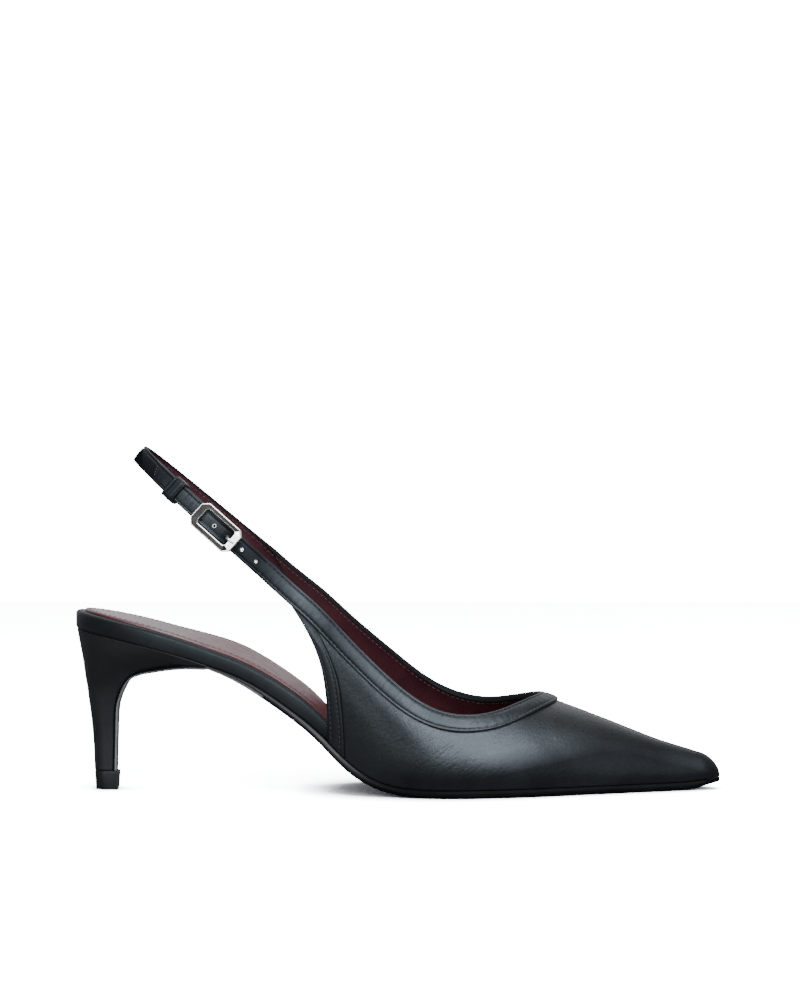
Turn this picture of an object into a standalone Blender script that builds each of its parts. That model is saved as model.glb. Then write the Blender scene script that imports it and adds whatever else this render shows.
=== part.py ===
"""Slingback pump, right shoe: last-shaped upper, sole, covered heel, topline strap and buckle.

Lengths are in millimetres. X runs from heel to toe, Y from the outer side to the inner side, Z up.
The origin is on the floor under the middle of the heel's top piece.
"""
import math

import bmesh
import bpy
import numpy as np

MM = 0.001

# Main sizes of the shoe
LENGTH = 252.0
SEAT_OVERHANG = 13.0
BALL_WIDTH = 73.0
SEAT_RISE = 60.0
INSTEP_RISE = 34.9
THROAT_AT = 182.0
COLLAR_REACH = 106.0
REAR_SWEEP = 23.2
SEAT_ROUND = 33.0
TOE_ROUND = 8.0

# Sheets and clearances
GAP = 0.3
WALL = 1.5
SOLE_THICKNESS = 3.2
SHANK_THICKNESS = 2.7
FLAP_THICKNESS = 1.4
TOE_EDGE = 1.7
SOLE_BEVEL = 1.1
BOARD_THICKNESS = 7.0
BOARD_BEVEL = 1.6
SOCK_THICKNESS = 0.8
SOCK_INSET = 2.2
ARCH_LIFT = 2.8
FACING_WIDTH = 7.9
FACING_STEP = 0.6
END_TRIM = 0.2
BOARD_MARGIN = 0.4
BOARD_TUCK = 16.0
SOCK_STOP = 4.0
TOE_TAPER = 14.0
FLAP_RUN = 24.0

# Heel
TOP_PIECE_HEIGHT = 7.2
TOP_PIECE_MARGIN = 0.4
STEM_BACK = 5.5
STEM_FRONT = 1.7
STEM_HALF_WIDTH = 4.6
STEM_ROUND = 4.2
TOP_PIECE_BACK = 5.0
BREAST_REACH = 40.0
SEAT_MARGIN = 0.8

# Strap, keeper and buckle
STRAP_WIDTH = 6.7
STRAP_THICKNESS = 2.0
BAND_THICKNESS = 1.0
BAND_PUFF = 0.35
STRAP_BACK = 15.3
STRAP_LIFT = 42.6
STRAP_CURVE = 2.4
STRAP_TURN = 16.0
TAIL_AT = 55.0
KEEPER_AT = 44.0
KEEPER_LENGTH = 5.4
KEEPER_WALL = 1.0
BUCKLE_AT = 22.4
BUCKLE_HALF_LENGTH = 10.0
BUCKLE_HALF_HEIGHT = 5.55
BUCKLE_END_BAR = 3.1
BUCKLE_SIDE_BAR = 1.9
BUCKLE_CLIP = 2.2
BUCKLE_THICKNESS = 1.8
BUCKLE_TILT = 0.09
BAR_THICKNESS = 1.6
HOLE_SPACING = 6.8
HOLE_COUNT = 4
HOLE_RADIUS = 1.0
PRONG_RADIUS = 0.6
PRONG_HOLE = 5.6
PRONG_BEND = 1.2
BILLET_LEAD = 2.0
BILLET_CLIMB = 10.0
LINING_START = 3.0
LINING_CLIMB = 6.0
WINDOW_CLIP = 0.7
LUG_INSET = 0.4

# Sole and board. Along: share of the length. Rise: share of the seat's rise.
# Outer and inner: half widths as shares of the ball width. Board: share of the board's thickness.
SOLE_COLUMNS = ("along", "rise", "outer", "inner", "board")
SOLE_ROWS = (
    (0.000, 1.002, 0.349, 0.349, 1.00),
    (0.083, 0.932, 0.349, 0.349, 0.96),
    (0.147, 0.863, 0.349, 0.349, 0.93),
    (0.210, 0.778, 0.336, 0.332, 0.87),
    (0.274, 0.665, 0.316, 0.295, 0.88),
    (0.329, 0.513, 0.307, 0.264, 1.00),
    (0.385, 0.323, 0.323, 0.267, 1.00),
    (0.429, 0.148, 0.366, 0.300, 0.78),
    (0.472, 0.045, 0.420, 0.352, 0.52),
    (0.524, 0.005, 0.477, 0.419, 0.38),
    (0.587, 0.000, 0.505, 0.481, 0.33),
    (0.655, 0.000, 0.471, 0.490, 0.30),
    (0.722, 0.000, 0.405, 0.434, 0.30),
    (0.782, 0.000, 0.319, 0.349, 0.30),
    (0.845, 0.000, 0.238, 0.262, 0.30),
    (0.905, 0.000, 0.161, 0.180, 0.30),
    (0.952, 0.005, 0.105, 0.120, 0.30),
    (1.000, 0.023, 0.050, 0.057, 0.30),
)

# Last above the sole. Ridge: share of the instep's rise. Swell: share of the ball width.
# Crown: share of the half width where the section turns over.
LAST_COLUMNS = ("along", "ridge", "swell", "crown")
LAST_ROWS = (
    (0.270, 2.290, 0.128, 1.27),
    (0.337, 2.264, 0.123, 1.25),
    (0.389, 2.235, 0.116, 1.20),
    (0.429, 2.149, 0.103, 1.12),
    (0.472, 1.977, 0.082, 1.02),
    (0.524, 1.691, 0.062, 0.93),
    (0.587, 1.361, 0.050, 0.78),
    (0.655, 1.110, 0.041, 0.64),
    (0.722, 0.956, 0.036, 0.55),
    (0.786, 0.790, 0.032, 0.53),
    (0.845, 0.625, 0.029, 0.52),
    (0.905, 0.456, 0.027, 0.51),
    (0.948, 0.352, 0.025, 0.50),
    (0.976, 0.278, 0.022, 0.50),
    (1.000, 0.229, 0.020, 0.50),
)
SHOULDER = 0.42

# Collar line. Turn: 0 at the quarter's rear edge, 1 at the throat. Outer and inner: share of the section.
COLLAR_COLUMNS = ("turn", "outer", "inner")
COLLAR_ROWS = (
    (0.00, 0.481, 0.498),
    (0.08, 0.461, 0.488),
    (0.15, 0.468, 0.512),
    (0.22, 0.478, 0.548),
    (0.30, 0.460, 0.554),
    (0.38, 0.434, 0.527),
    (0.45, 0.437, 0.514),
    (0.53, 0.479, 0.529),
    (0.60, 0.540, 0.568),
    (0.68, 0.632, 0.643),
    (0.75, 0.719, 0.719),
    (0.82, 0.805, 0.797),
    (0.90, 0.895, 0.887),
    (1.00, 1.000, 1.000),
)

# Quarter's rear edge. Share: 0 at the feather edge, 1 at the collar. Lean: share of the rear sweep.
REAR_COLUMNS = ("share", "lean")
REAR_ROWS = (
    (0.00, 0.000),
    (0.25, 0.018),
    (0.44, 0.070),
    (0.62, 0.220),
    (0.71, 0.390),
    (0.77, 0.545),
    (0.81, 0.660),
    (1.00, 1.000),
)

# Heel block from the top piece (0) to the seat (1). The others are shares from the stem to the seat.
HEEL_COLUMNS = ("rise", "back", "front", "width", "round")
HEEL_ROWS = (
    (0.00, 0.000, 0.000, 0.000, 0.000),
    (0.22, 0.076, 0.008, 0.005, 0.007),
    (0.36, 0.180, 0.013, 0.030, 0.034),
    (0.50, 0.330, 0.029, 0.100, 0.086),
    (0.60, 0.440, 0.073, 0.187, 0.138),
    (0.69, 0.560, 0.138, 0.323, 0.207),
    (0.77, 0.650, 0.258, 0.475, 0.328),
    (0.83, 0.740, 0.435, 0.626, 0.466),
    (0.89, 0.830, 0.617, 0.778, 0.620),
    (0.94, 0.910, 0.779, 0.894, 0.793),
    (1.00, 1.000, 1.000, 1.000, 1.000),
)

# Name: colour, roughness, metallic
FINISHES = {
    "black_leather": ((0.022, 0.024, 0.028), 0.42, 0.0),
    "black_gloss": ((0.014, 0.014, 0.016), 0.18, 0.0),
    "heel_cover": ((0.018, 0.019, 0.021), 0.5, 0.0),
    "top_piece_rubber": ((0.016, 0.016, 0.017), 0.6, 0.0),
    "burgundy_leather": ((0.055, 0.016, 0.022), 0.3, 0.0),
    "polished_metal": ((0.82, 0.79, 0.76), 0.12, 1.0),
}


def spline(columns, rows, name):
    """Natural cubic curve through one column of a table, as a function of its first column."""
    x = np.array([row[0] for row in rows])
    y = np.array([row[columns.index(name)] for row in rows])
    count = len(x)
    step = np.diff(x)
    matrix = np.eye(count)
    right = np.zeros(count)
    for i in range(1, count - 1):
        matrix[i, i - 1:i + 2] = step[i - 1], 2 * (step[i - 1] + step[i]), step[i]
        right[i] = 6 * ((y[i + 1] - y[i]) / step[i] - (y[i] - y[i - 1]) / step[i - 1])
    bend = np.linalg.solve(matrix, right)

    def value(at):
        i = min(max(int(np.searchsorted(x, at)) - 1, 0), count - 2)
        t = (at - x[i]) / step[i]
        rest = 1 - t
        curve = (rest ** 3 - rest) * bend[i] + (t ** 3 - t) * bend[i + 1]
        return rest * y[i] + t * y[i + 1] + curve * step[i] ** 2 / 6

    return value


sole_rise = spline(SOLE_COLUMNS, SOLE_ROWS, "rise")
outer_width = spline(SOLE_COLUMNS, SOLE_ROWS, "outer")
inner_width = spline(SOLE_COLUMNS, SOLE_ROWS, "inner")
board_share = spline(SOLE_COLUMNS, SOLE_ROWS, "board")
ridge_share = spline(LAST_COLUMNS, LAST_ROWS, "ridge")
swell_share = spline(LAST_COLUMNS, LAST_ROWS, "swell")
crown_share = spline(LAST_COLUMNS, LAST_ROWS, "crown")
collar_outer = spline(COLLAR_COLUMNS, COLLAR_ROWS, "outer")
collar_inner = spline(COLLAR_COLUMNS, COLLAR_ROWS, "inner")
rear_lean = spline(REAR_COLUMNS, REAR_ROWS, "lean")
heel_back = spline(HEEL_COLUMNS, HEEL_ROWS, "back")
heel_front = spline(HEEL_COLUMNS, HEEL_ROWS, "front")
heel_width = spline(HEEL_COLUMNS, HEEL_ROWS, "width")
heel_round = spline(HEEL_COLUMNS, HEEL_ROWS, "round")

SEAT_BACK = -SEAT_OVERHANG
TOE_TIP = LENGTH - SEAT_OVERHANG
THROAT = SEAT_BACK + THROAT_AT
COLLAR_REAR = THROAT - COLLAR_REACH
REAR_FOOT = COLLAR_REAR + REAR_SWEEP
FLAT_HEIGHT = SOLE_THICKNESS + GAP
INNER_INSET = WALL + GAP


def lerp(a, b, share):
    return a + (b - a) * share


def ease(x, start, end):
    """Smooth step from 0 at start to 1 at end."""
    share = min(max((x - start) / (end - start), 0.0), 1.0)
    return share * share * (3 - 2 * share)


def along(x):
    return (x - SEAT_BACK) / LENGTH


def quarter_round(distance, reach):
    """Height of a quarter ellipse at a distance from its end."""
    rest = 1 - min(max(distance / reach, 0.0), 1.0)
    return math.sqrt(1 - rest * rest)


def half_width(x, side, inset=0.0):
    """Half width of the plan outline, less an inset, on the outer (-1) or inner (+1) side."""
    share = outer_width if side < 0 else inner_width
    ends = quarter_round(x - SEAT_BACK - inset, SEAT_ROUND)
    ends *= quarter_round(TOE_TIP - inset - x, TOE_ROUND)
    return (share(along(x)) * BALL_WIDTH - inset) * ends


def arch_lift(x, y):
    """The inner side of the arch stands higher than the outer side."""
    share = along(x)
    swell = ease(share, 0.13, 0.27) * (1 - ease(share, 0.34, 0.48))
    across = min(max(y / (0.3 * BALL_WIDTH), -1.0), 1.0)
    return ARCH_LIFT * swell * (1 + across) / 2


def bottom(x, y=0.0):
    """Height of the foot bed's underside, where the sole and heel meet the board and upper."""
    return FLAT_HEIGHT + SEAT_RISE * max(sole_rise(along(x)), 0.0) + arch_lift(x, y)


def last_point(x, turn, inset=0.0):
    """Point of the last. Turn is 0 at the outer feather edge, 1 on the ridge, 2 at the inner edge."""
    side = -1 if turn <= 1 else 1
    t = turn if turn <= 1 else 2 - turn
    width = half_width(x, side, inset)
    low = bottom(x, side * width)
    nose = quarter_round(TOE_TIP - inset - x, TOE_ROUND)
    share = along(x)
    height = (INSTEP_RISE * ridge_share(share) - inset) * nose
    height = max(height - (low - bottom(x)), 0.2)
    swell = swell_share(share) * BALL_WIDTH * nose
    ys = (width, width + swell, width * crown_share(share), 0.0)
    zs = (0.0, height * SHOULDER, height, height)
    weights = ((1 - t) ** 3, 3 * t * (1 - t) ** 2, 3 * t * t * (1 - t), t ** 3)
    y = sum(weight * value for weight, value in zip(weights, ys))
    z = sum(weight * value for weight, value in zip(weights, zs))
    return np.array((x, side * y, low + z))


def collar_x(turn):
    return COLLAR_REAR + COLLAR_REACH * math.sin(turn * math.pi / 2)


def collar_turn(turn, side):
    """Place of the collar across the last's section."""
    return collar_outer(turn) if side < 0 else 2 - collar_inner(turn)


def surface_frame(x, turn):
    """Point, slopes and outward normal of the last."""
    step = 0.05
    small = 0.001
    slope_x = (last_point(x + step, turn) - last_point(x - step, turn)) / (2 * step)
    low, high = (turn - 2 * small, turn) if abs(turn - 1) < small else (turn - small, turn + small)
    slope_turn = (last_point(x, high) - last_point(x, low)) / (high - low)
    normal = np.cross(slope_x, slope_turn)
    return last_point(x, turn), slope_x, slope_turn, normal / np.linalg.norm(normal)


def walk(x, turn, direction, distance, steps=6):
    """Moves over the last from one place in a fixed direction."""
    for _ in range(steps):
        _, slope_x, slope_turn, normal = surface_frame(x, turn)
        flat = direction - normal * np.dot(direction, normal)
        flat *= distance / steps / np.linalg.norm(flat)
        move = np.linalg.lstsq(np.stack((slope_x, slope_turn), axis=1), flat, rcond=None)[0]
        x += move[0]
        turn += move[1]
    return x, turn


def make_object(name, points, faces, finish):
    """One closed body from points in millimetres."""
    mesh = bpy.data.meshes.new(name)
    mesh.from_pydata([tuple(float(value) * MM for value in point) for point in points], [], faces)
    body = bmesh.new()
    body.from_mesh(mesh)
    bmesh.ops.remove_doubles(body, verts=body.verts, dist=0.000001)
    bmesh.ops.recalc_face_normals(body, faces=body.faces)
    if body.calc_volume(signed=True) < 0:
        bmesh.ops.reverse_faces(body, faces=body.faces)
    body.to_mesh(mesh)
    body.free()
    mesh.materials.append(bpy.data.materials[finish])
    mesh.shade_smooth()
    mesh.set_sharp_from_angle(angle=math.radians(35))
    result = bpy.data.objects.new(name, mesh)
    bpy.context.collection.objects.link(result)
    return result


def make_finishes():
    for name, (colour, roughness, metallic) in FINISHES.items():
        material = bpy.data.materials.new(name)
        material.use_nodes = True
        shader = material.node_tree.nodes["Principled BSDF"]
        shader.inputs["Base Color"].default_value = (*colour, 1.0)
        shader.inputs["Roughness"].default_value = roughness
        shader.inputs["Metallic"].default_value = metallic


def loft(name, rings, finish, closed=False):
    """Solid through rings of equal count, with flat caps unless the rings close on themselves."""
    size = len(rings[0])
    points = [point for ring in rings for point in ring]
    faces = []
    pairs = len(rings) if closed else len(rings) - 1
    for i in range(pairs):
        first = i * size
        second = (i + 1) % len(rings) * size
        for j in range(size):
            k = (j + 1) % size
            faces.append((first + j, first + k, second + k, second + j))
    if not closed:
        faces.append(tuple(range(size)))
        faces.append(tuple(range(len(points) - size, len(points))))
    return make_object(name, points, faces, finish)


def spaced(start, end, count, ends=1.0):
    """Stations between two places, closer together near both ends as ends nears 1."""
    shares = [i / (count - 1) for i in range(count)]
    return [lerp(start, end, lerp(s, (1 - math.cos(math.pi * s)) / 2, ends)) for s in shares]


# Upper

def rear_edge(share):
    """The quarter's rear edge leans back towards the strap as it rises."""
    return REAR_FOOT - REAR_SWEEP * rear_lean(share)


def facing_fade(share):
    """The facing strip thins out where the topline band lies over it."""
    return 1 - ease(share, 0.67, 0.77)


def open_row(turn, side, inset, columns=12):
    """Points from the feather edge up to the collar, beside the opening."""
    top = collar_turn(turn, side)
    start = 0.0 if side < 0 else 2.0
    row = []
    for i in range(columns + 1):
        share = i / columns
        edge = rear_edge(share)
        x = edge + (THROAT - edge) * math.sin(turn * math.pi / 2)
        skin = inset * facing_fade(share) if inset < 0 else inset
        row.append(last_point(x, lerp(start, top, share), skin))
    return row


def upper_rows(inset_plain, inset_facing, tip_inset):
    """Rows over the whole upper: outer quarter, inner quarter and the closed vamp."""
    facing_turn = math.asin(FACING_WIDTH / COLLAR_REACH) * 2 / math.pi
    turns = [(0.0, inset_facing), (facing_turn * 0.5, inset_facing), (facing_turn, inset_facing)]
    turns += [(facing_turn * 1.08, inset_plain)]
    turns += [(turn, inset_plain) for turn in spaced(facing_turn * 1.08, 1.0, 22, 0.35)[1:]]
    outer = [open_row(turn, -1, inset) for turn, inset in turns]
    inner = [open_row(turn, 1, inset) for turn, inset in turns]
    closed = []
    tip = TOE_TIP - tip_inset
    for i in range(1, 19):
        x = THROAT + (tip - THROAT) * math.sin(i / 18.4 * math.pi / 2)
        closed.append([last_point(x, j / 12, inset_plain) for j in range(25)])
    return outer, inner, closed


def make_upper():
    """Hollow wall, open at the collar and back, and underneath where the sole closes it."""
    points = []
    index = {}

    def place(skin, part, rows):
        for i, row in enumerate(rows):
            for j, point in enumerate(row):
                index[skin, part, i, j] = len(points)
                points.append(point)

    for skin, plain, facing, tip in ((0, 0.0, -FACING_STEP, 0.0), (1, WALL, WALL, WALL)):
        outer, inner, closed = upper_rows(plain, facing, tip)
        place(skin, "outer", outer)
        place(skin, "inner", inner)
        throat = outer[-1] + inner[-1][-2::-1]
        place(skin, "closed", [throat] + closed)
    rows = len(outer)
    columns = len(outer[0])
    faces = []
    for skin in (0, 1):
        for part in ("outer", "inner"):
            for i in range(rows - 1):
                for j in range(columns - 1):
                    faces.append((index[skin, part, i, j], index[skin, part, i, j + 1],
                                  index[skin, part, i + 1, j + 1], index[skin, part, i + 1, j]))
        last_row = len(closed)
        across = len(closed[0])
        for i in range(last_row):
            for j in range(across - 1):
                faces.append((index[skin, "closed", i, j], index[skin, "closed", i, j + 1],
                              index[skin, "closed", i + 1, j + 1], index[skin, "closed", i + 1, j]))
        faces.append(tuple(index[skin, "closed", last_row, j] for j in range(across)))
    rim = []
    for part in ("outer", "inner"):
        rim += [((part, i, 0), (part, i + 1, 0)) for i in range(rows - 1)]
        rim += [((part, i, columns - 1), (part, i + 1, columns - 1)) for i in range(rows - 1)]
        rim += [((part, 0, j), (part, 0, j + 1)) for j in range(columns - 1)]
    rim += [(("closed", i, j), ("closed", i + 1, j)) for j in (0, across - 1) for i in range(last_row)]
    rim += [(("closed", last_row, 0), ("closed", last_row, across - 1))]
    for a, b in rim:
        faces.append((index[(0, *a)], index[(0, *b)], index[(1, *b)], index[(1, *a)]))
    return make_object("upper", points, faces, "black_leather")


# Sole, board and sock

def heel_top(x, y):
    return bottom(x, y) - GAP


def heel_rise_z(rise, x, y):
    """Height of a heel section: level at the top piece, along the seat at the top."""
    low = TOP_PIECE_HEIGHT + GAP
    return lerp(low, heel_top(x, y), rise)


def breast_x(rise):
    return lerp(STEM_FRONT, BREAST_REACH, heel_front(rise))


def heel_half_width(rise):
    seat = half_width(SEAT_BACK + SEAT_ROUND, 1) - SEAT_MARGIN
    return lerp(STEM_HALF_WIDTH, seat, heel_width(rise))


def sole_stations():
    """Sole run from the toe to the breast, then down the heel's front.

    Each station gives its height as a function of x and y, its place, widths and thickness.
    """
    stations = []
    for x in spaced(TOE_TIP - END_TRIM, BREAST_REACH, 44, 0.55):
        toe = ease(x, TOE_TIP - TOE_TAPER, TOE_TIP)
        shank = 1 - ease(along(x), 0.36, 0.47)
        thickness = lerp(lerp(SOLE_THICKNESS, SHANK_THICKNESS, shank), TOE_EDGE, toe)
        thickness = lerp(FLAP_THICKNESS, thickness, ease(x, BREAST_REACH, BREAST_REACH + FLAP_RUN))
        stations.append((x, None, half_width(x, -1), half_width(x, 1), thickness))
    for rise in spaced(0.975, 0.0, 16, 0.3):
        x = breast_x(rise)
        width = heel_half_width(rise)
        stations.append((x, rise, width, width, FLAP_THICKNESS))
    return stations


def station_height(station, x, y):
    rise = station[1]
    return bottom(x, y) - GAP if rise is None else heel_rise_z(rise, x, y)


def make_outsole():
    stations = sole_stations()
    centre = [np.array((s[0], 0.0, station_height(s, s[0], 0.0))) for s in stations]
    rings = []
    for i, station in enumerate(stations):
        before = centre[max(i - 1, 0)]
        after = centre[min(i + 1, len(centre) - 1)]
        run = (after - before) / np.linalg.norm(after - before)
        normal = np.array((run[2], 0.0, -run[0])) * -1
        if station[1] is None and station[0] > REAR_FOOT:
            normal = np.array((0.0, 0.0, -1.0))
        if station[1] == 0.0:
            normal = np.array((1.0, 0.0, 0.0))
        rings.append(sole_ring(station, normal))
    return loft("outsole", rings, "black_gloss")


def sole_ring(station, normal):
    x, rise, outer, inner, thickness = station
    skin = GAP if rise is not None else 0.0
    bevel = min(SOLE_BEVEL, thickness * 0.45, min(outer, inner) * 0.5)
    top = [lerp(-outer, inner, share) for share in (0.0, 0.25, 0.5, 0.75, 1.0)]
    low = [inner - bevel, lerp(-outer, inner, 0.5), -outer + bevel]
    ring = []
    for y in top:
        base = np.array((x, y, station_height(station, x, y)))
        ring.append(base + normal * skin)
    edge = [(inner, thickness - bevel)] + [(y, thickness) for y in low] + [(-outer, thickness - bevel)]
    for y, depth in edge:
        base = np.array((x, y, station_height(station, x, y)))
        ring.append(base + normal * (skin + depth))
    return ring


def board_inset(x):
    """The board draws in where it goes inside the upper."""
    tucked = ease(x, REAR_FOOT - BOARD_TUCK, REAR_FOOT)
    return lerp(BOARD_MARGIN, INNER_INSET + GAP, tucked)


def board_top(x, y):
    return bottom(x, y) + BOARD_THICKNESS * board_share(along(x))


def make_board():
    rings = []
    inset = board_inset(TOE_TIP)
    for x in spaced(SEAT_BACK + BOARD_MARGIN + END_TRIM, TOE_TIP - inset - END_TRIM, 46, 0.8):
        outer = half_width(x, -1, board_inset(x))
        inner = half_width(x, 1, board_inset(x))
        thickness = BOARD_THICKNESS * board_share(along(x))
        bevel = min(BOARD_BEVEL, thickness * 0.4, min(outer, inner) * 0.5)
        profile = [(-outer, 0.0), (-outer, thickness - bevel), (-outer + bevel * 0.3, thickness - bevel * 0.3),
                   (-outer + bevel, thickness), (lerp(-outer, inner, 0.5), thickness),
                   (inner - bevel, thickness), (inner - bevel * 0.3, thickness - bevel * 0.3),
                   (inner, thickness - bevel), (inner, 0.0), (lerp(-outer, inner, 0.5), 0.0)]
        rings.append([np.array((x, y, bottom(x, y) + rise)) for y, rise in profile])
    return loft("insole_board", rings, "black_leather")


def make_sock():
    rings = []
    inset = INNER_INSET + SOCK_INSET
    for x in spaced(SEAT_BACK + inset + END_TRIM, TOE_TIP - inset - SOCK_STOP, 44, 0.8):
        outer = half_width(x, -1, inset)
        inner = half_width(x, 1, inset)
        ys = [lerp(-outer, inner, share) for share in (0.0, 0.25, 0.5, 0.75, 1.0)]
        low = [np.array((x, y, board_top(x, y) + GAP)) for y in ys]
        high = [point + np.array((0.0, 0.0, SOCK_THICKNESS)) for point in low]
        rings.append(low + high[::-1])
    return loft("sock", rings, "burgundy_leather")


# Heel

def d_shape(back, front, width, reach, count=9):
    """Plan of the heel: round at the back, straight across at the front."""
    reach = min(reach, front - back - GAP)
    centre = back + reach
    outline = []
    for i in range(2 * count + 1):
        angle = math.pi / 2 + math.pi * i / (2 * count)
        outline.append((centre + reach * math.cos(angle), width * math.sin(angle)))
    sides = (0.5, 1.0)
    lower = [(lerp(centre, front, share), -width) for share in sides]
    across = [(front, width * share) for share in (-0.5, 0.0, 0.5)]
    upper = [(lerp(centre, front, share), width) for share in sides[::-1]]
    return outline + lower + across + upper


def make_heel():
    rings = []
    for rise in spaced(0.0, 1.0, 20, 0.2):
        back = lerp(-STEM_BACK, SEAT_BACK + SEAT_MARGIN, heel_back(rise))
        reach = lerp(STEM_ROUND, SEAT_ROUND, heel_round(rise))
        plan = d_shape(back, breast_x(rise), heel_half_width(rise), reach)
        rings.append([np.array((x, y, heel_rise_z(rise, x, y))) for x, y in plan])
    return loft("heel", rings, "heel_cover")


def make_top_piece():
    front = STEM_FRONT + GAP + FLAP_THICKNESS + 2 * TOP_PIECE_MARGIN
    rings = []
    for z, margin in ((0.0, 0.0), (TOP_PIECE_HEIGHT, TOP_PIECE_MARGIN)):
        plan = d_shape(-TOP_PIECE_BACK - margin, front + margin - TOP_PIECE_MARGIN,
                       STEM_HALF_WIDTH + margin * 0.5, STEM_ROUND)
        rings.append([np.array((x, y, z)) for x, y in plan])
    return loft("top_piece", rings, "top_piece_rubber")


# Strap

def collar_station(turn, side):
    """Three places down the band's width on the last, with their outward normals."""
    x, place = collar_x(turn), collar_turn(turn, side)
    step = 0.004
    ahead, behind = min(turn + step, 1.0), max(turn - step, 0.0)
    run = last_point(collar_x(ahead), collar_turn(ahead, side))
    run = run - last_point(collar_x(behind), collar_turn(behind, side))
    if turn > 1 - step:
        run = np.array((0.0, 1.0 if side < 0 else -1.0, 0.0))
    _, _, _, normal = surface_frame(x, place)
    down = np.cross(normal, run) * (1 if side < 0 else -1)
    down /= np.linalg.norm(down)
    if down[2] > 0:
        down = -down
    places = [(x, place)]
    for share in (0.5, 1.0):
        places.append(walk(x, place, down, STRAP_WIDTH * share))
    frames = [surface_frame(*p) for p in places]
    return [(frame[0], frame[3]) for frame in frames]


def strap_back():
    """Top edge of the strap behind the ankle."""
    return np.array((STRAP_BACK, 0.0, collar_station(0.0, -1)[0][0][2] + STRAP_LIFT))


def loop_side(side, count=90):
    """Top edge of the sling from the quarter round to the middle of the back, with its frames."""
    start = last_point(collar_x(0.0), collar_turn(0.0, side))
    back = strap_back()
    slope = back - start
    slope[1] = 0.0
    slope /= np.linalg.norm(slope)
    down = np.array((-slope[2], 0.0, slope[0]))
    edge = []
    for i in range(count + 1):
        angle = i / count * math.pi / 2
        reach = math.sin(angle) ** (2 / STRAP_CURVE)
        half = max(math.cos(angle), 0.0) ** (2 / STRAP_CURVE)
        point = lerp(start, back, reach)
        point[1] = start[1] * half
        edge.append(point)
    return np.array(edge), down


def resample(points, spacing):
    lengths = np.concatenate(((0.0,), np.cumsum(np.linalg.norm(np.diff(points, axis=0), axis=1))))
    count = max(int(round(lengths[-1] / spacing)), 2)
    at = np.linspace(0.0, lengths[-1], count + 1)
    return np.stack([np.interp(at, lengths, points[:, k]) for k in range(3)], axis=1), at


def loop_frames(side, spacing=2.2):
    """Frames of the sling at equal steps from the quarter: distance, top edge, down and outward."""
    edge, down = loop_side(side)
    edge, at = resample(edge, spacing)
    frames = []
    for i, point in enumerate(edge):
        run = edge[min(i + 1, len(edge) - 1)] - edge[max(i - 1, 0)]
        if i == len(edge) - 1:
            run = np.array((0.0, -side, 0.0))
        out = np.cross(run, down) * -side
        frames.append((at[i], point, down, out / np.linalg.norm(out)))
    return frames


def frame_at(distance):
    """Frame of the sling on the outer side at a distance from the quarter."""
    frames = loop_frames(-1, 0.5)
    nearest = min(frames, key=lambda frame: abs(frame[0] - distance))
    return nearest[1], nearest[2], nearest[3]


OUTER_FACE = GAP + BAND_THICKNESS
INNER_FACE = OUTER_FACE - STRAP_THICKNESS
TAIL_SHIFT = STRAP_THICKNESS + 1.2 * GAP


def billet_shift(distance):
    """The punched end climbs over the buckle's middle bar and the strap's folded end."""
    start = BUCKLE_AT - BUCKLE_HALF_LENGTH - BILLET_LEAD
    return TAIL_SHIFT * ease(distance, start, start + BILLET_CLIMB)


def strap_ring(tops, low, high, puff):
    """Cross-section of the strap: three places down its width, inner face then outer face."""
    ring = [point + normal * low for point, normal in tops]
    ring += [point + normal * (high + (puff if i == 1 else 0.0)) for i, (point, normal) in
             reversed(list(enumerate(tops)))]
    return ring


def sling_ring(frame, side, shift, low):
    """Section of the free strap, which takes up the collar's lean where it leaves the quarter."""
    distance, point, down, out = frame
    collar = collar_station(0.0, side)
    turned = ease(distance, -STRAP_TURN / 8, STRAP_TURN)
    down = lerp((collar[2][0] - collar[0][0]) / STRAP_WIDTH, down, turned)
    out = lerp(collar[1][1], out, turned)
    down /= np.linalg.norm(down)
    out /= np.linalg.norm(out)
    tops = [(point + down * STRAP_WIDTH * share, out) for share in (0.0, 0.5, 1.0)]
    return strap_ring(tops, low + shift, OUTER_FACE + shift, BAND_PUFF * 0.5)


def free_low(distance):
    return lerp(GAP, INNER_FACE, ease(distance, LINING_START, LINING_START + LINING_CLIMB))


def make_strap():
    rings = []
    outer_loop = loop_frames(-1)
    inner_loop = loop_frames(1)
    for frame in reversed([f for f in outer_loop if 1.0 < f[0] <= TAIL_AT]):
        rings.append(sling_ring(frame, -1, billet_shift(frame[0]), free_low(frame[0])))
    turns = spaced(0.0, 1.0, 34, 0.25)
    for turn in turns:
        rings.append(strap_ring(collar_station(turn, -1), GAP, OUTER_FACE, BAND_PUFF))
    for turn in turns[-2::-1]:
        rings.append(strap_ring(collar_station(turn, 1), GAP, OUTER_FACE, BAND_PUFF))
    for frame in inner_loop:
        if frame[0] > 1.0:
            rings.append(sling_ring(frame, 1, 0.0, free_low(frame[0])))
    fold = BUCKLE_AT + BAR_THICKNESS / 2 + GAP
    for frame in reversed(outer_loop[:-1]):
        if frame[0] > fold:
            rings.append(sling_ring(frame, -1, 0.0, INNER_FACE))
    strap = loft("topline_strap", rings, "black_leather")
    for i in range(HOLE_COUNT):
        distance = BUCKLE_AT - PRONG_HOLE + (1 - i) * HOLE_SPACING
        punch(strap, distance, "hole_punch_%d" % i)
    return strap


def sling_centre(distance):
    point, down, out = frame_at(distance)
    return point + down * STRAP_WIDTH / 2, down, out


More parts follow.
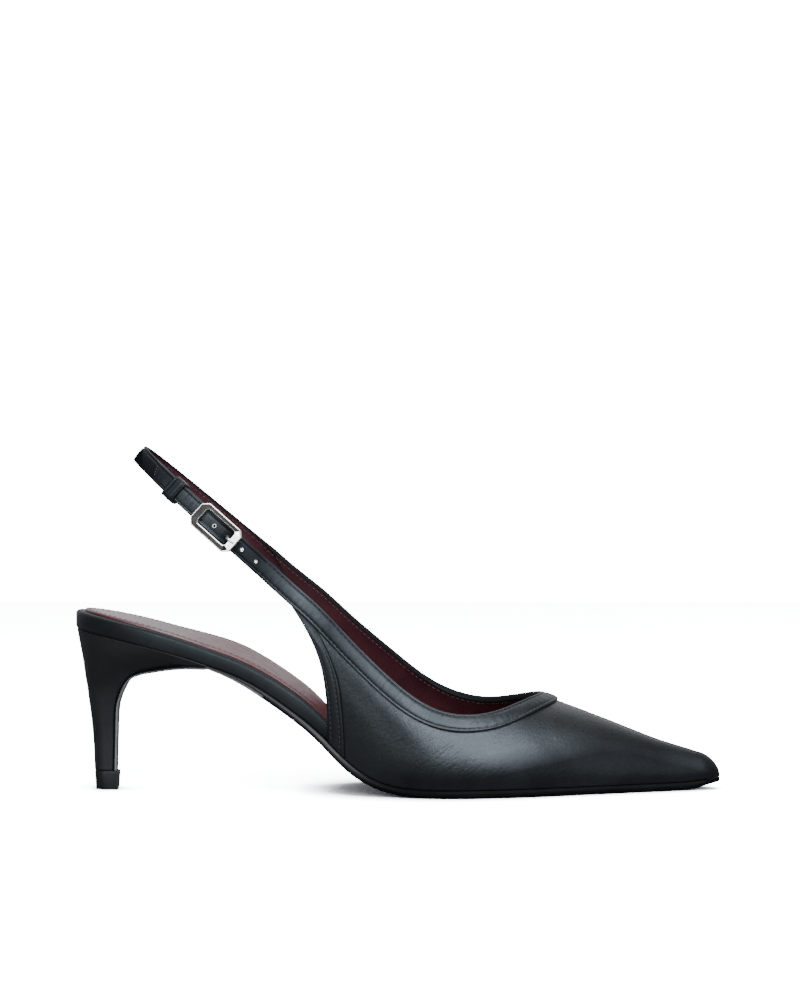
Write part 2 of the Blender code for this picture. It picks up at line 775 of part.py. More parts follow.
def make_rod(name, places, radius, finish, sides=10):
    """Round rod through places, with flat ends."""
    rings = []
    for i, place in enumerate(places):
        run = places[min(i + 1, len(places) - 1)] - places[max(i - 1, 0)]
        run /= np.linalg.norm(run)
        helper = sling_centre(BUCKLE_AT)[1]
        first = np.cross(run, helper)
        first /= np.linalg.norm(first)
        second = np.cross(run, first)
        ring = []
        for k in range(sides):
            angle = 2 * math.pi * k / sides
            ring.append(place + radius * (first * math.cos(angle) + second * math.sin(angle)))
        rings.append(ring)
    return loft(name, rings, finish)


def make_tool(tool):
    tool.hide_render = True
    tool.display_type = "WIRE"


def punch(strap, distance, name):
    centre, _, out = sling_centre(distance)
    shift = billet_shift(distance)
    middle = centre + out * (shift + (OUTER_FACE + INNER_FACE) / 2)
    reach = STRAP_THICKNESS / 2 + 1.2 * BAND_PUFF
    tool = make_rod(name, [middle - out * reach, middle + out * reach], HOLE_RADIUS, "black_leather")
    make_tool(tool)
    cut = strap.modifiers.new(name, "BOOLEAN")
    cut.operation = "DIFFERENCE"
    cut.object = tool


# Keeper and buckle

def make_keeper():
    centre, down, out = sling_centre(KEEPER_AT)
    edge_after = sling_centre(KEEPER_AT + 2)[0] - sling_centre(KEEPER_AT - 2)[0]
    run = edge_after / np.linalg.norm(edge_after)
    low = INNER_FACE - 2 * GAP
    high = OUTER_FACE + TAIL_SHIFT + BAND_PUFF + 2 * GAP
    half = STRAP_WIDTH / 2 + GAP
    middle = (low + high) / 2
    tall = (high - low) / 2
    rings = []
    count = 20
    for i in range(count):
        angle = 2 * math.pi * i / count
        across = math.copysign(abs(math.cos(angle)) ** 0.3, math.cos(angle))
        level = math.copysign(abs(math.sin(angle)) ** 0.3, math.sin(angle))
        ring = []
        for side, wall in ((-1, 0.0), (1, 0.0), (1, KEEPER_WALL), (0, KEEPER_WALL * 1.2), (-1, KEEPER_WALL)):
            place = centre + run * side * KEEPER_LENGTH / 2 + down * across * (half + wall)
            ring.append(place + out * (middle + level * (tall + wall)))
        rings.append(ring)
    return loft("keeper", rings, "black_leather", closed=True)


def buckle_place(along_strap, across, level):
    """Place by the buckle's middle: towards the toe, up across the strap, and outward."""
    centre, down, out = sling_centre(BUCKLE_AT)
    run = sling_centre(BUCKLE_AT - 2)[0] - sling_centre(BUCKLE_AT + 2)[0]
    run /= np.linalg.norm(run)
    lean = BUCKLE_TILT * along_strap if level > OUTER_FACE else 0.0
    return centre + run * along_strap - down * across + out * (level - lean)


FRAME_LEVEL = OUTER_FACE + TAIL_SHIFT + BAND_PUFF + GAP


def make_buckle():
    """Eight-sided frame over the strap, with lugs down to a bar under it."""
    long, high = BUCKLE_HALF_LENGTH, BUCKLE_HALF_HEIGHT
    corners = []
    for sx, sy in ((1, 1), (-1, 1), (-1, -1), (1, -1)):
        pair = [(sx * long, sy * (high - BUCKLE_CLIP)), (sx * (long - BUCKLE_CLIP), sy * high)]
        corners += pair if sx * sy > 0 else pair[::-1]
    rings = []
    for x, y in corners:
        near = math.copysign(long - BUCKLE_END_BAR, x), math.copysign(high - BUCKLE_SIDE_BAR, y)
        if abs(x) == long:
            near = near[0], near[1] - math.copysign(WINDOW_CLIP, y)
        else:
            near = near[0] - math.copysign(WINDOW_CLIP, x), near[1]
        ring = []
        for share, level in ((0.0, 0.0), (0.0, 0.6), (0.25, 1.0), (0.75, 1.0), (1.0, 0.6), (1.0, 0.0)):
            ring.append(buckle_place(lerp(x, near[0], share), lerp(y, near[1], share),
                                     FRAME_LEVEL + level * BUCKLE_THICKNESS))
        rings.append(ring)
    frame = loft("buckle_frame", rings, "polished_metal", closed=True)
    bar_level = (OUTER_FACE + INNER_FACE) / 2
    half = BAR_THICKNESS / 2
    inner = high - BUCKLE_SIDE_BAR + LUG_INSET / 4
    outer = high - LUG_INSET
    top = FRAME_LEVEL + LUG_INSET
    bridge = [(-outer, top), (-inner, top), (-inner, bar_level + half), (inner, bar_level + half),
              (inner, top), (outer, top), (outer, bar_level - half), (-outer, bar_level - half)]
    rings = [[buckle_place(x, y, level) for y, level in bridge] for x in (-half, half)]
    bar = loft("buckle_bar_tool", rings, "polished_metal")
    make_tool(bar)
    weld = frame.modifiers.new("bar", "BOOLEAN")
    weld.operation = "UNION"
    weld.object = bar
    return frame


def make_prong():
    """Pin from the bar, out through the punched hole and onto the frame's end bar."""
    under = INNER_FACE
    over = FRAME_LEVEL + BUCKLE_THICKNESS + GAP + PRONG_RADIUS
    bar_edge = BAR_THICKNESS / 2 + GAP
    small = PRONG_BEND / 3
    route = [(bar_edge, under), (PRONG_HOLE - 2 * small, under), (PRONG_HOLE, under + 2 * small),
             (PRONG_HOLE, over - PRONG_BEND), (PRONG_HOLE + small, over - small),
             (PRONG_HOLE + PRONG_BEND, over), (BUCKLE_HALF_LENGTH - 2 * small, over)]
    places = [buckle_place(x, 0.0, level) for x, level in route]
    return make_rod("buckle_prong", places, PRONG_RADIUS, "polished_metal", sides=8)


def main():
    for item in list(bpy.data.objects):
        bpy.data.objects.remove(item, do_unlink=True)
    make_finishes()
    make_upper()
    make_outsole()
    make_board()
    make_sock()
    make_heel()
    make_top_piece()
    make_strap()
    make_keeper()
    make_buckle()
    make_prong()


main()
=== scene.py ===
"""Slingback pump, right shoe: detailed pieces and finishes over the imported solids.

Lengths are in millimetres until a mesh is made, in the same frame as the solids:
X from heel to toe, Y from the outer side to the inner side, Z up from the floor.
"""
import math

import bmesh
import bpy
import numpy as np
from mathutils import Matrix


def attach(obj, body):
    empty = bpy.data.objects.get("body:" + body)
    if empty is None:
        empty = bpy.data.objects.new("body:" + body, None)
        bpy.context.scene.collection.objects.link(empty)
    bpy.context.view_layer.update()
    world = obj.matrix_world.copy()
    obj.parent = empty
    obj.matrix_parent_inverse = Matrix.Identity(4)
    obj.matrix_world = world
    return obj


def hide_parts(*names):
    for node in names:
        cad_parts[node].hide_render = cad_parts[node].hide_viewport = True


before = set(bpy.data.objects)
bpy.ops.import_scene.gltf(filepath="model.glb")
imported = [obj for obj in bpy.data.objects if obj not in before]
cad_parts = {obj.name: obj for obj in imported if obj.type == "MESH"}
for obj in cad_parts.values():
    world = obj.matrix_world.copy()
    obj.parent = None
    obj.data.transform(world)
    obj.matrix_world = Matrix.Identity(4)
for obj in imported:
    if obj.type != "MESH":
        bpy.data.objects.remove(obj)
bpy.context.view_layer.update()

MM = 0.001

# Main sizes of the shoe
LENGTH = 252.0
SEAT_OVERHANG = 13.0
BALL_WIDTH = 73.0
SEAT_RISE = 60.0
INSTEP_RISE = 34.9
THROAT_AT = 182.0
COLLAR_REACH = 106.0
REAR_SWEEP = 23.2
SEAT_ROUND = 33.0
TOE_ROUND = 8.0

# Sheets and clearances
GAP = 0.3
WALL = 1.5
SOLE_THICKNESS = 3.2
SHANK_THICKNESS = 2.7
FLAP_THICKNESS = 1.4
FLAP_CLEAR = 0.02
TOE_EDGE = 1.7
SOLE_BEVEL = 1.1
# Strips of the sole's bevel, which carry the painted floor reflection under the arch and heel
BEVEL_STRIPS = (2, 3, 4, 5, 6, 11, 12, 13, 14, 15)
BOARD_THICKNESS = 7.0
BOARD_BEVEL = 1.6
SOCK_THICKNESS = 0.8
SOCK_INSET = 2.2
ARCH_LIFT = 2.8
FACING_WIDTH = 7.9
FACING_STEP = 0.6
FACING_SPREAD = 1.8
FOLD_STEPS = 6
TURNED_EDGE = 0.25
BOARD_MARGIN = 0.4
BOARD_TUCK = 16.0
TOE_TAPER = 14.0
FLAP_RUN = 24.0

# Heel
TOP_PIECE_HEIGHT = 7.2
TOP_PIECE_MARGIN = 0.4
STEM_BACK = 5.5
STEM_FRONT = 1.7
STEM_HALF_WIDTH = 4.6
STEM_ROUND = 4.2
BREAST_REACH = 40.0
SEAT_MARGIN = 0.8

# Strap, keeper and buckle
STRAP_WIDTH = 6.7
STRAP_THICKNESS = 2.0
BAND_THICKNESS = 1.0
BAND_PUFF = 0.35
STRAP_BACK = 15.3
STRAP_LIFT = 42.6
STRAP_CURVE = 2.4
STRAP_TURN = 16.0
STRAP_LAP = 0.4
LOOSE_RUN = 8.0
TAIL_AT = 55.0
TAIL_SLANT = 0.62
TAIL_RUN = 6.0
BILLET_LEAD = 2.0
BILLET_CLIMB = 10.0
KEEPER_AT = 44.0
KEEPER_LENGTH = 5.4
KEEPER_WALL = 1.0
KEEPER_CORNER = 0.36
BUCKLE_AT = 22.4
BUCKLE_HALF_LENGTH = 10.0
BUCKLE_HALF_HEIGHT = 5.55
BUCKLE_END_BAR = 3.1
BUCKLE_SIDE_BAR = 1.9
BUCKLE_CLIP = 2.2
BUCKLE_SILL = 0.45
BUCKLE_THICKNESS = 1.8
BUCKLE_TILT = 0.09
BAR_THICKNESS = 1.6
HOLE_SPACING = 6.8
HOLE_COUNT = 4
HOLE_RADIUS = 0.7
PRONG_RADIUS = 0.6
PRONG_HOLE = 5.6
PRONG_FOOT = 0.7
PRONG_BEND = 1.2
PRONG_SHORT = 0.8
BUCKLE_ROUND = 0.45
WINDOW_ROUND = 0.3
WINDOW_CLIP = 0.7
BAR_ROUND = 0.25
BAR_CHAMFER = 0.15
LUG_HEIGHT = 0.4

# Painted light at the punched holes, pale rings and discs: how far past the hole and the bore, in the
# buckle's window and beside it
RIM_OPEN = (0.10, 0.50)
RIM_FILLED = (-0.02, 0.12)
RIM_LIFT = 0.22
RIM_SINK = 0.5

# Stitch rows: shares across the facing and the strap, then places on the sock in from its outline
FACING_STITCHES = (0.19, 0.74)
BAND_STITCHES = (0.129, 0.842)
BAND_GROOVES = (0.30, 0.14)
LINING_STITCHES = 0.22
TAIL_STITCHES = 1.1
SOCK_STITCH_INSET = 1.5
SOCK_STITCH_BACK = 1.9
SOCK_STITCH_RUN = 26.0

# Studio brightness
PAPER_BOUNCE = 0.17
PAPER_SEEN = 16.0
# Painted contact shadow on the paper by ambient occlusion: its reach, depth and start
CONTACT_REACH = 22.0
CONTACT_SHADE = 0.93
CONTACT_START = 0.45
STUDIO_FRONT = 0.12
STUDIO_BACK = 0.95
STUDIO_SEEN = 18.0
COOL_LIGHT = (0.90, 0.95, 1.0)

# Camera, in metres, millimetres and degrees
CAMERA_PLACE = (0.11388, -1.350, 0.155)
CAMERA_LENS = 155.769
CAMERA_SENSOR = 36.0
CAMERA_TIP = 1.78735

# Sole and board. Along: share of the length. Rise: share of the seat's rise.
# Outer and inner: half widths as shares of the ball width. Board: share of the board's thickness.
SOLE_COLUMNS = ("along", "rise", "outer", "inner", "board")
SOLE_ROWS = (
    (0.000, 1.002, 0.349, 0.349, 1.00),
    (0.083, 0.932, 0.349, 0.349, 0.96),
    (0.147, 0.863, 0.349, 0.349, 0.93),
    (0.210, 0.778, 0.336, 0.332, 0.87),
    (0.274, 0.665, 0.316, 0.295, 0.88),
    (0.329, 0.513, 0.307, 0.264, 1.00),
    (0.385, 0.323, 0.323, 0.267, 1.00),
    (0.429, 0.148, 0.366, 0.300, 0.78),
    (0.472, 0.045, 0.420, 0.352, 0.52),
    (0.524, 0.005, 0.477, 0.419, 0.38),
    (0.587, 0.000, 0.505, 0.481, 0.33),
    (0.655, 0.000, 0.471, 0.490, 0.30),
    (0.722, 0.000, 0.405, 0.434, 0.30),
    (0.782, 0.000, 0.319, 0.349, 0.30),
    (0.845, 0.000, 0.238, 0.262, 0.30),
    (0.905, 0.000, 0.161, 0.180, 0.30),
    (0.952, 0.005, 0.105, 0.120, 0.30),
    (1.000, 0.023, 0.050, 0.057, 0.30),
)

# Last above the sole. Ridge: share of the instep's rise. Swell: share of the ball width.
# Crown: share of the half width where the section turns over.
LAST_COLUMNS = ("along", "ridge", "swell", "crown")
LAST_ROWS = (
    (0.270, 2.290, 0.128, 1.27),
    (0.337, 2.264, 0.123, 1.25),
    (0.389, 2.235, 0.116, 1.20),
    (0.429, 2.149, 0.103, 1.12),
    (0.472, 1.977, 0.082, 1.02),
    (0.524, 1.691, 0.062, 0.93),
    (0.587, 1.361, 0.050, 0.78),
    (0.655, 1.110, 0.041, 0.64),
    (0.722, 0.956, 0.036, 0.55),
    (0.786, 0.790, 0.032, 0.53),
    (0.845, 0.625, 0.029, 0.52),
    (0.905, 0.456, 0.027, 0.51),
    (0.948, 0.352, 0.025, 0.50),
    (0.976, 0.278, 0.022, 0.50),
    (1.000, 0.229, 0.020, 0.50),
)
SHOULDER = 0.42

# Collar line. Turn: 0 at the quarter's rear edge, 1 at the throat. Outer and inner: share of the section.
COLLAR_COLUMNS = ("turn", "outer", "inner")
COLLAR_ROWS = (
    (0.00, 0.481, 0.498),
    (0.08, 0.461, 0.488),
    (0.15, 0.468, 0.512),
    (0.22, 0.478, 0.548),
    (0.30, 0.460, 0.554),
    (0.38, 0.434, 0.527),
    (0.45, 0.437, 0.514),
    (0.53, 0.479, 0.529),
    (0.60, 0.540, 0.568),
    (0.68, 0.632, 0.643),
    (0.75, 0.719, 0.719),
    (0.82, 0.805, 0.797),
    (0.90, 0.895, 0.887),
    (1.00, 1.000, 1.000),
)

# Quarter's rear edge. Share: 0 at the feather edge, 1 at the collar. Lean: share of the rear sweep.
REAR_COLUMNS = ("share", "lean")
REAR_ROWS = (
    (0.00, 0.000),
    (0.25, 0.018),
    (0.44, 0.070),
    (0.62, 0.220),
    (0.71, 0.390),
    (0.77, 0.545),
    (0.81, 0.660),
    (1.00, 1.000),
)

# Heel block from the top piece (0) to the seat (1). The others are shares from the stem to the seat.
HEEL_COLUMNS = ("rise", "back", "front", "width", "round")
HEEL_ROWS = (
    (0.00, 0.000, 0.000, 0.000, 0.000),
    (0.22, 0.076, 0.008, 0.005, 0.007),
    (0.36, 0.180, 0.013, 0.030, 0.034),
    (0.50, 0.330, 0.029, 0.100, 0.086),
    (0.60, 0.440, 0.073, 0.187, 0.138),
    (0.69, 0.560, 0.138, 0.323, 0.207),
    (0.77, 0.650, 0.258, 0.475, 0.328),
    (0.83, 0.740, 0.435, 0.626, 0.466),
    (0.89, 0.830, 0.617, 0.778, 0.620),
    (0.94, 0.910, 0.779, 0.894, 0.793),
    (1.00, 1.000, 1.000, 1.000, 1.000),
)

# Facing strip from the quarter's rear edge. Across: share of its width. Lift: share of its step.
FACING_ROWS = (
    (0.13, 1.00), (0.17, 0.80), (0.21, 0.80), (0.25, 1.00), (0.34, 1.10), (0.48, 1.15), (0.60, 1.10),
    (0.68, 1.00), (0.72, 0.80), (0.76, 0.80), (0.80, 1.00), (0.88, 1.02), (0.94, 0.94), (0.975, 0.70),
    (0.99, 0.35), (1.00, -0.10), (1.012, -0.42), (1.035, -0.42), (1.06, -0.15), (1.10, 0.00), (1.20, 0.00),
)

# Section of the strap from its top edge. Across: share of its width. Lift: share of the band's thickness
# above the outer face, then above the inner face. Sunk: 1 where the section hides in the upper's wall.
OUTER_ROWS = (
    (-0.045, -0.75), (-0.040, -0.42), (-0.025, -0.16), (0.005, -0.03), (0.045, 0.02), (0.080, 0.00),
    (0.100, -0.10), (0.118, -0.26), (0.140, -0.26), (0.160, -0.08), (0.190, 0.06), (0.250, 0.17),
    (0.340, 0.23), (0.450, 0.26), (0.560, 0.26), (0.660, 0.22), (0.740, 0.15), (0.800, 0.05),
    (0.830, -0.08), (0.850, -0.12), (0.880, -0.02), (0.925, 0.02), (0.965, -0.06), (0.992, -0.30),
    (1.000, -0.62),
)
INNER_ROWS = (
    (1.000, 0.35, 1), (0.970, 0.08, 1), (0.900, 0.00, 1), (0.830, 0.02, 1), (0.810, 0.10, 1),
    (0.500, 0.07, 1), (0.065, 0.10, 1), (0.050, 0.04, 0), (0.030, 0.04, 0), (0.005, 0.10, 0),
    (-0.030, 0.32, 0),
)
LINING_STRIPS = (4, 5)

# Bar of the buckle's frame from its outer to its inner edge. Share: of its width. Level: of its thickness.
BUCKLE_ROWS = (
    (0.00, 0.00), (0.00, 0.72), (0.02, 0.90), (0.06, 0.99), (0.13, 1.00), (0.18, 0.95), (0.21, 0.84),
    (0.23, 0.62), (0.77, 0.62), (0.79, 0.84), (0.82, 0.95), (0.87, 1.00), (0.94, 0.99), (0.98, 0.90),
    (1.00, 0.72), (1.00, 0.00),
)
# Strips of the channel between the rims, which take the painted shade except along the flat end bar
BUCKLE_CHANNEL = (6, 7, 8)

# Keeper along the strap. Share: of its half length. Level: of its wall.
KEEPER_ROWS = (
    (-1.00, 0.00), (1.00, 0.00), (1.00, 0.45), (0.97, 0.78), (0.91, 0.98), (0.82, 1.05), (0.72, 1.02),
    (0.64, 0.92), (0.57, 0.92), (0.49, 1.02), (0.36, 1.10), (0.20, 1.12), (0.05, 1.09), (-0.06, 1.08),
    (-0.20, 1.11), (-0.34, 1.12), (-0.46, 1.08), (-0.55, 0.99), (-0.60, 0.91), (-0.66, 0.91),
    (-0.73, 1.00), (-0.82, 1.05), (-0.91, 0.98), (-0.97, 0.78), (-1.00, 0.45),
)

# Shine of the topline band at places from heel to toe, in millimetres.
BAND_SHINE = (
    (14.0, 0.0), (22.0, 0.40), (40.0, 0.30), (48.0, 0.10), (60.0, 0.04), (68.0, 0.18), (76.0, 0.38),
    (87.0, 0.16), (95.0, 0.22), (104.0, 0.32), (118.0, 0.44), (127.0, 0.36), (140.0, 0.46), (152.0, 0.40),
    (166.0, 0.20),
)

# Shine of the lining and the sock, the same way.
LINING_SHINE = ((20.0, 0.22), (100.0, 0.08))
SOCK_SHINE = ((0.0, 1.0), (14.0, 0.80), (36.0, 0.46), (50.0, 0.30), (70.0, 0.30), (82.0, 0.08))

# Places from heel to toe in millimetres, with the height in metres above which the vamp shines; below it the
# shine is cut as painted shade.
VAMP_SHADE_EDGE = ((145.0, 0.0115), (192.0, 0.020), (207.0, 0.0180), (223.0, 0.0135), (233.0, 0.0105))
BLUE_SHEEN = (0.80, 0.92, 1.0, 1.0)
BLACKS = ((0.0037, 0.0039, 0.0044), (0.0059, 0.0061, 0.0067))

# Stitch from end to end. Along: share of the pitch. Thick and lift: shares of the thread's radius.
STITCH_ROWS = ((0.10, 0.35, -1.3), (0.24, 1.0, 0.1), (0.50, 1.1, 0.5), (0.76, 1.0, 0.1), (0.90, 0.35, -1.3))

# Soft creases of the upper, a line each on both sides. Along: share of the length. Up: share of the
# instep's rise above the floor. Width and depth in millimetres, a depth below zero for a ridge.
CREASE_COLUMNS = ("from_along", "from_up", "to_along", "to_up", "width", "depth")
CREASE_ROWS = (
    (0.415, 1.35, 0.500, 0.62, 3.6, 0.16),
    (0.435, 1.36, 0.530, 0.66, 3.2, -0.12),
    (0.462, 1.22, 0.545, 0.74, 3.0, 0.12),
    (0.500, 0.98, 0.600, 0.58, 3.4, -0.12),
    (0.530, 0.90, 0.650, 0.55, 3.0, 0.12),
    (0.640, 0.80, 0.690, 0.42, 4.8, 0.11),
    (0.672, 0.86, 0.722, 0.40, 4.6, -0.10),
    (0.705, 0.84, 0.752, 0.36, 4.6, 0.10),
    (0.748, 0.76, 0.800, 0.34, 4.8, -0.09),
    (0.800, 0.62, 0.850, 0.30, 4.8, 0.09),
)


def unit(vector):
    return vector / np.linalg.norm(vector)


def spline(rows, column):
    """Natural cubic curve through one column of a table, as a function of its first column."""
    x = np.array([row[0] for row in rows])
    y = np.array([row[column] for row in rows])
    count = len(x)
    step = np.diff(x)
    matrix = np.eye(count)
    right = np.zeros(count)
    for i in range(1, count - 1):
        matrix[i, i - 1:i + 2] = step[i - 1], 2 * (step[i - 1] + step[i]), step[i]
        right[i] = 6 * ((y[i + 1] - y[i]) / step[i] - (y[i] - y[i - 1]) / step[i - 1])
    bend = np.linalg.solve(matrix, right)

    def value(at):
        i = min(max(int(np.searchsorted(x, at)) - 1, 0), count - 2)
        t = (at - x[i]) / step[i]
        rest = 1 - t
        curve = (rest ** 3 - rest) * bend[i] + (t ** 3 - t) * bend[i + 1]
        return rest * y[i] + t * y[i + 1] + curve * step[i] ** 2 / 6

    return value


def splines(columns, rows):
    """One curve for each column after the first."""
    return [spline(rows, number) for number in range(1, len(columns))]


sole_rise, outer_width, inner_width, board_share = splines(SOLE_COLUMNS, SOLE_ROWS)
ridge_share, swell_share, crown_share = splines(LAST_COLUMNS, LAST_ROWS)
collar_outer, collar_inner = splines(COLLAR_COLUMNS, COLLAR_ROWS)
rear_lean, = splines(REAR_COLUMNS, REAR_ROWS)
heel_back, heel_front, heel_width, heel_round = splines(HEEL_COLUMNS, HEEL_ROWS)

SEAT_BACK = -SEAT_OVERHANG
TOE_TIP = LENGTH - SEAT_OVERHANG
THROAT = SEAT_BACK + THROAT_AT
COLLAR_REAR = THROAT - COLLAR_REACH
REAR_FOOT = COLLAR_REAR + REAR_SWEEP
FLAT_HEIGHT = SOLE_THICKNESS + GAP
INNER_INSET = WALL + GAP
OUTER_FACE = GAP + BAND_THICKNESS
INNER_FACE = OUTER_FACE - STRAP_THICKNESS
TAIL_SHIFT = STRAP_THICKNESS + 1.2 * GAP
FRAME_LEVEL = OUTER_FACE + TAIL_SHIFT + BAND_PUFF + GAP


def lerp(a, b, share):
    return a + (b - a) * share


def ease(x, start, end):
    """Smooth step from 0 at start to 1 at end."""
    share = min(max((x - start) / (end - start), 0.0), 1.0)
    return share * share * (3 - 2 * share)


def spaced(start, end, count, ends=1.0):
    """Stations between two places, closer together near both ends as ends nears 1."""
    shares = [i / (count - 1) for i in range(count)]
    return [lerp(start, end, lerp(s, (1 - math.cos(math.pi * s)) / 2, ends)) for s in shares]


def along(x):
    return (x - SEAT_BACK) / LENGTH


def quarter_round(distance, reach):
    """Height of a quarter ellipse at a distance from its end."""
    rest = 1 - min(max(distance / reach, 0.0), 1.0)
    return math.sqrt(1 - rest * rest)


def half_width(x, side, inset=0.0):
    """Half width of the plan outline, less an inset, on the outer (-1) or inner (+1) side."""
    share = outer_width if side < 0 else inner_width
    ends = quarter_round(x - SEAT_BACK - inset, SEAT_ROUND)
    ends *= quarter_round(TOE_TIP - inset - x, TOE_ROUND)
    return (share(along(x)) * BALL_WIDTH - inset) * ends


def arch_lift(x, y):
    """The inner side of the arch stands higher than the outer side."""
    share = along(x)
    swell = ease(share, 0.13, 0.27) * (1 - ease(share, 0.34, 0.48))
    across = min(max(y / (0.3 * BALL_WIDTH), -1.0), 1.0)
    return ARCH_LIFT * swell * (1 + across) / 2


def bottom(x, y=0.0):
    """Height of the foot bed's underside, where the sole and heel meet the board and upper."""
    return FLAT_HEIGHT + SEAT_RISE * max(sole_rise(along(x)), 0.0) + arch_lift(x, y)


def last_point(x, turn, inset=0.0):
    """Point of the last. Turn is 0 at the outer feather edge, 1 on the ridge, 2 at the inner edge."""
    side = -1 if turn <= 1 else 1
    t = turn if turn <= 1 else 2 - turn
    width = half_width(x, side, inset)
    low = bottom(x, side * width)
    nose = quarter_round(TOE_TIP - inset - x, TOE_ROUND)
    share = along(x)
    height = (INSTEP_RISE * ridge_share(share) - inset) * nose
    height = max(height - (low - bottom(x)), 0.2)
    swell = swell_share(share) * BALL_WIDTH * nose
    ys = (width, width + swell, width * crown_share(share), 0.0)
    zs = (0.0, height * SHOULDER, height, height)
    weights = ((1 - t) ** 3, 3 * t * (1 - t) ** 2, 3 * t * t * (1 - t), t ** 3)
    y = sum(weight * value for weight, value in zip(weights, ys))
    z = sum(weight * value for weight, value in zip(weights, zs))
    return np.array((x, side * y, low + z))


def collar_x(turn):
    return COLLAR_REAR + COLLAR_REACH * math.sin(turn * math.pi / 2)


def collar_turn(turn, side):
    """Place of the collar across the last's section."""
    return collar_outer(turn) if side < 0 else 2 - collar_inner(turn)


def surface_frame(x, turn):
    """Point, slopes and outward normal of the last."""
    step = 0.05
    small = 0.001
    slope_x = (last_point(x + step, turn) - last_point(x - step, turn)) / (2 * step)
    low, high = (turn - 2 * small, turn) if abs(turn - 1) < small else (turn - small, turn + small)
    slope_turn = (last_point(x, high) - last_point(x, low)) / (high - low)
    normal = np.cross(slope_x, slope_turn)
    return last_point(x, turn), slope_x, slope_turn, unit(normal)


def walk(x, turn, direction, distance, steps=6):
    """Moves over the last from one place in a fixed direction."""
    for _ in range(steps):
        _, slope_x, slope_turn, normal = surface_frame(x, turn)
        flat = direction - normal * np.dot(direction, normal)
        flat *= distance / steps / np.linalg.norm(flat)
        move = np.linalg.lstsq(np.stack((slope_x, slope_turn), axis=1), flat, rcond=None)[0]
        x += move[0]
        turn += move[1]
    return x, turn


# Meshes and finishes

def make_piece(name, points, faces, finishes, picks=None, sharp=40):
    """Mesh object from points in millimetres, with one finish or a pick of finishes per face."""
    mesh = bpy.data.meshes.new(name)
    mesh.from_pydata([tuple(float(value) * MM for value in point) for point in points], [], faces)
    for finish in finishes:
        mesh.materials.append(finish)
    if picks:
        mesh.polygons.foreach_set("material_index", picks)
    body = bmesh.new()
    body.from_mesh(mesh)
    bmesh.ops.remove_doubles(body, verts=body.verts, dist=0.000001)
    bmesh.ops.recalc_face_normals(body, faces=body.faces)
    if body.calc_volume(signed=True) < 0:
        bmesh.ops.reverse_faces(body, faces=body.faces)
    body.to_mesh(mesh)
    body.free()
    mesh.shade_smooth()
    mesh.set_sharp_from_angle(angle=math.radians(sharp))
    result = bpy.data.objects.new(name, mesh)
    bpy.context.collection.objects.link(result)
    return result


def loft(name, rings, finishes, closed=False, pick=None, sharp=40):
    """Skin through rings of equal count, with flat caps unless the rings close on themselves."""
    size = len(rings[0])
    points = [point for ring in rings for point in ring]
    faces = []
    picks = []
    pairs = len(rings) if closed else len(rings) - 1
    for i in range(pairs):
        first = i * size
        second = (i + 1) % len(rings) * size
        for j in range(size):
            k = (j + 1) % size
            faces.append((first + j, first + k, second + k, second + j))
            picks.append(pick(i, j) if pick else 0)
    if not closed:
        faces.append(tuple(range(size)))
        faces.append(tuple(range(len(points) - size, len(points))))
        picks += [0, 0]
    return make_piece(name, points, faces, finishes, picks, sharp)


def dress(piece, slot, *nodes):
    """The piece rides on the shoe and stands for the named solids."""
    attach(piece, "root")
    if nodes:
        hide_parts(*nodes)
    return piece


def add_node(tree, kind, inputs):
    """New node whose inputs are set to values or linked to the outputs of other nodes."""
    node = tree.nodes.new("ShaderNode" + kind)
    for name, value in inputs.items():
        if isinstance(value, bpy.types.NodeSocket):
            tree.links.new(value, node.inputs[name])
        else:
            node.inputs[name].default_value = value
    return node


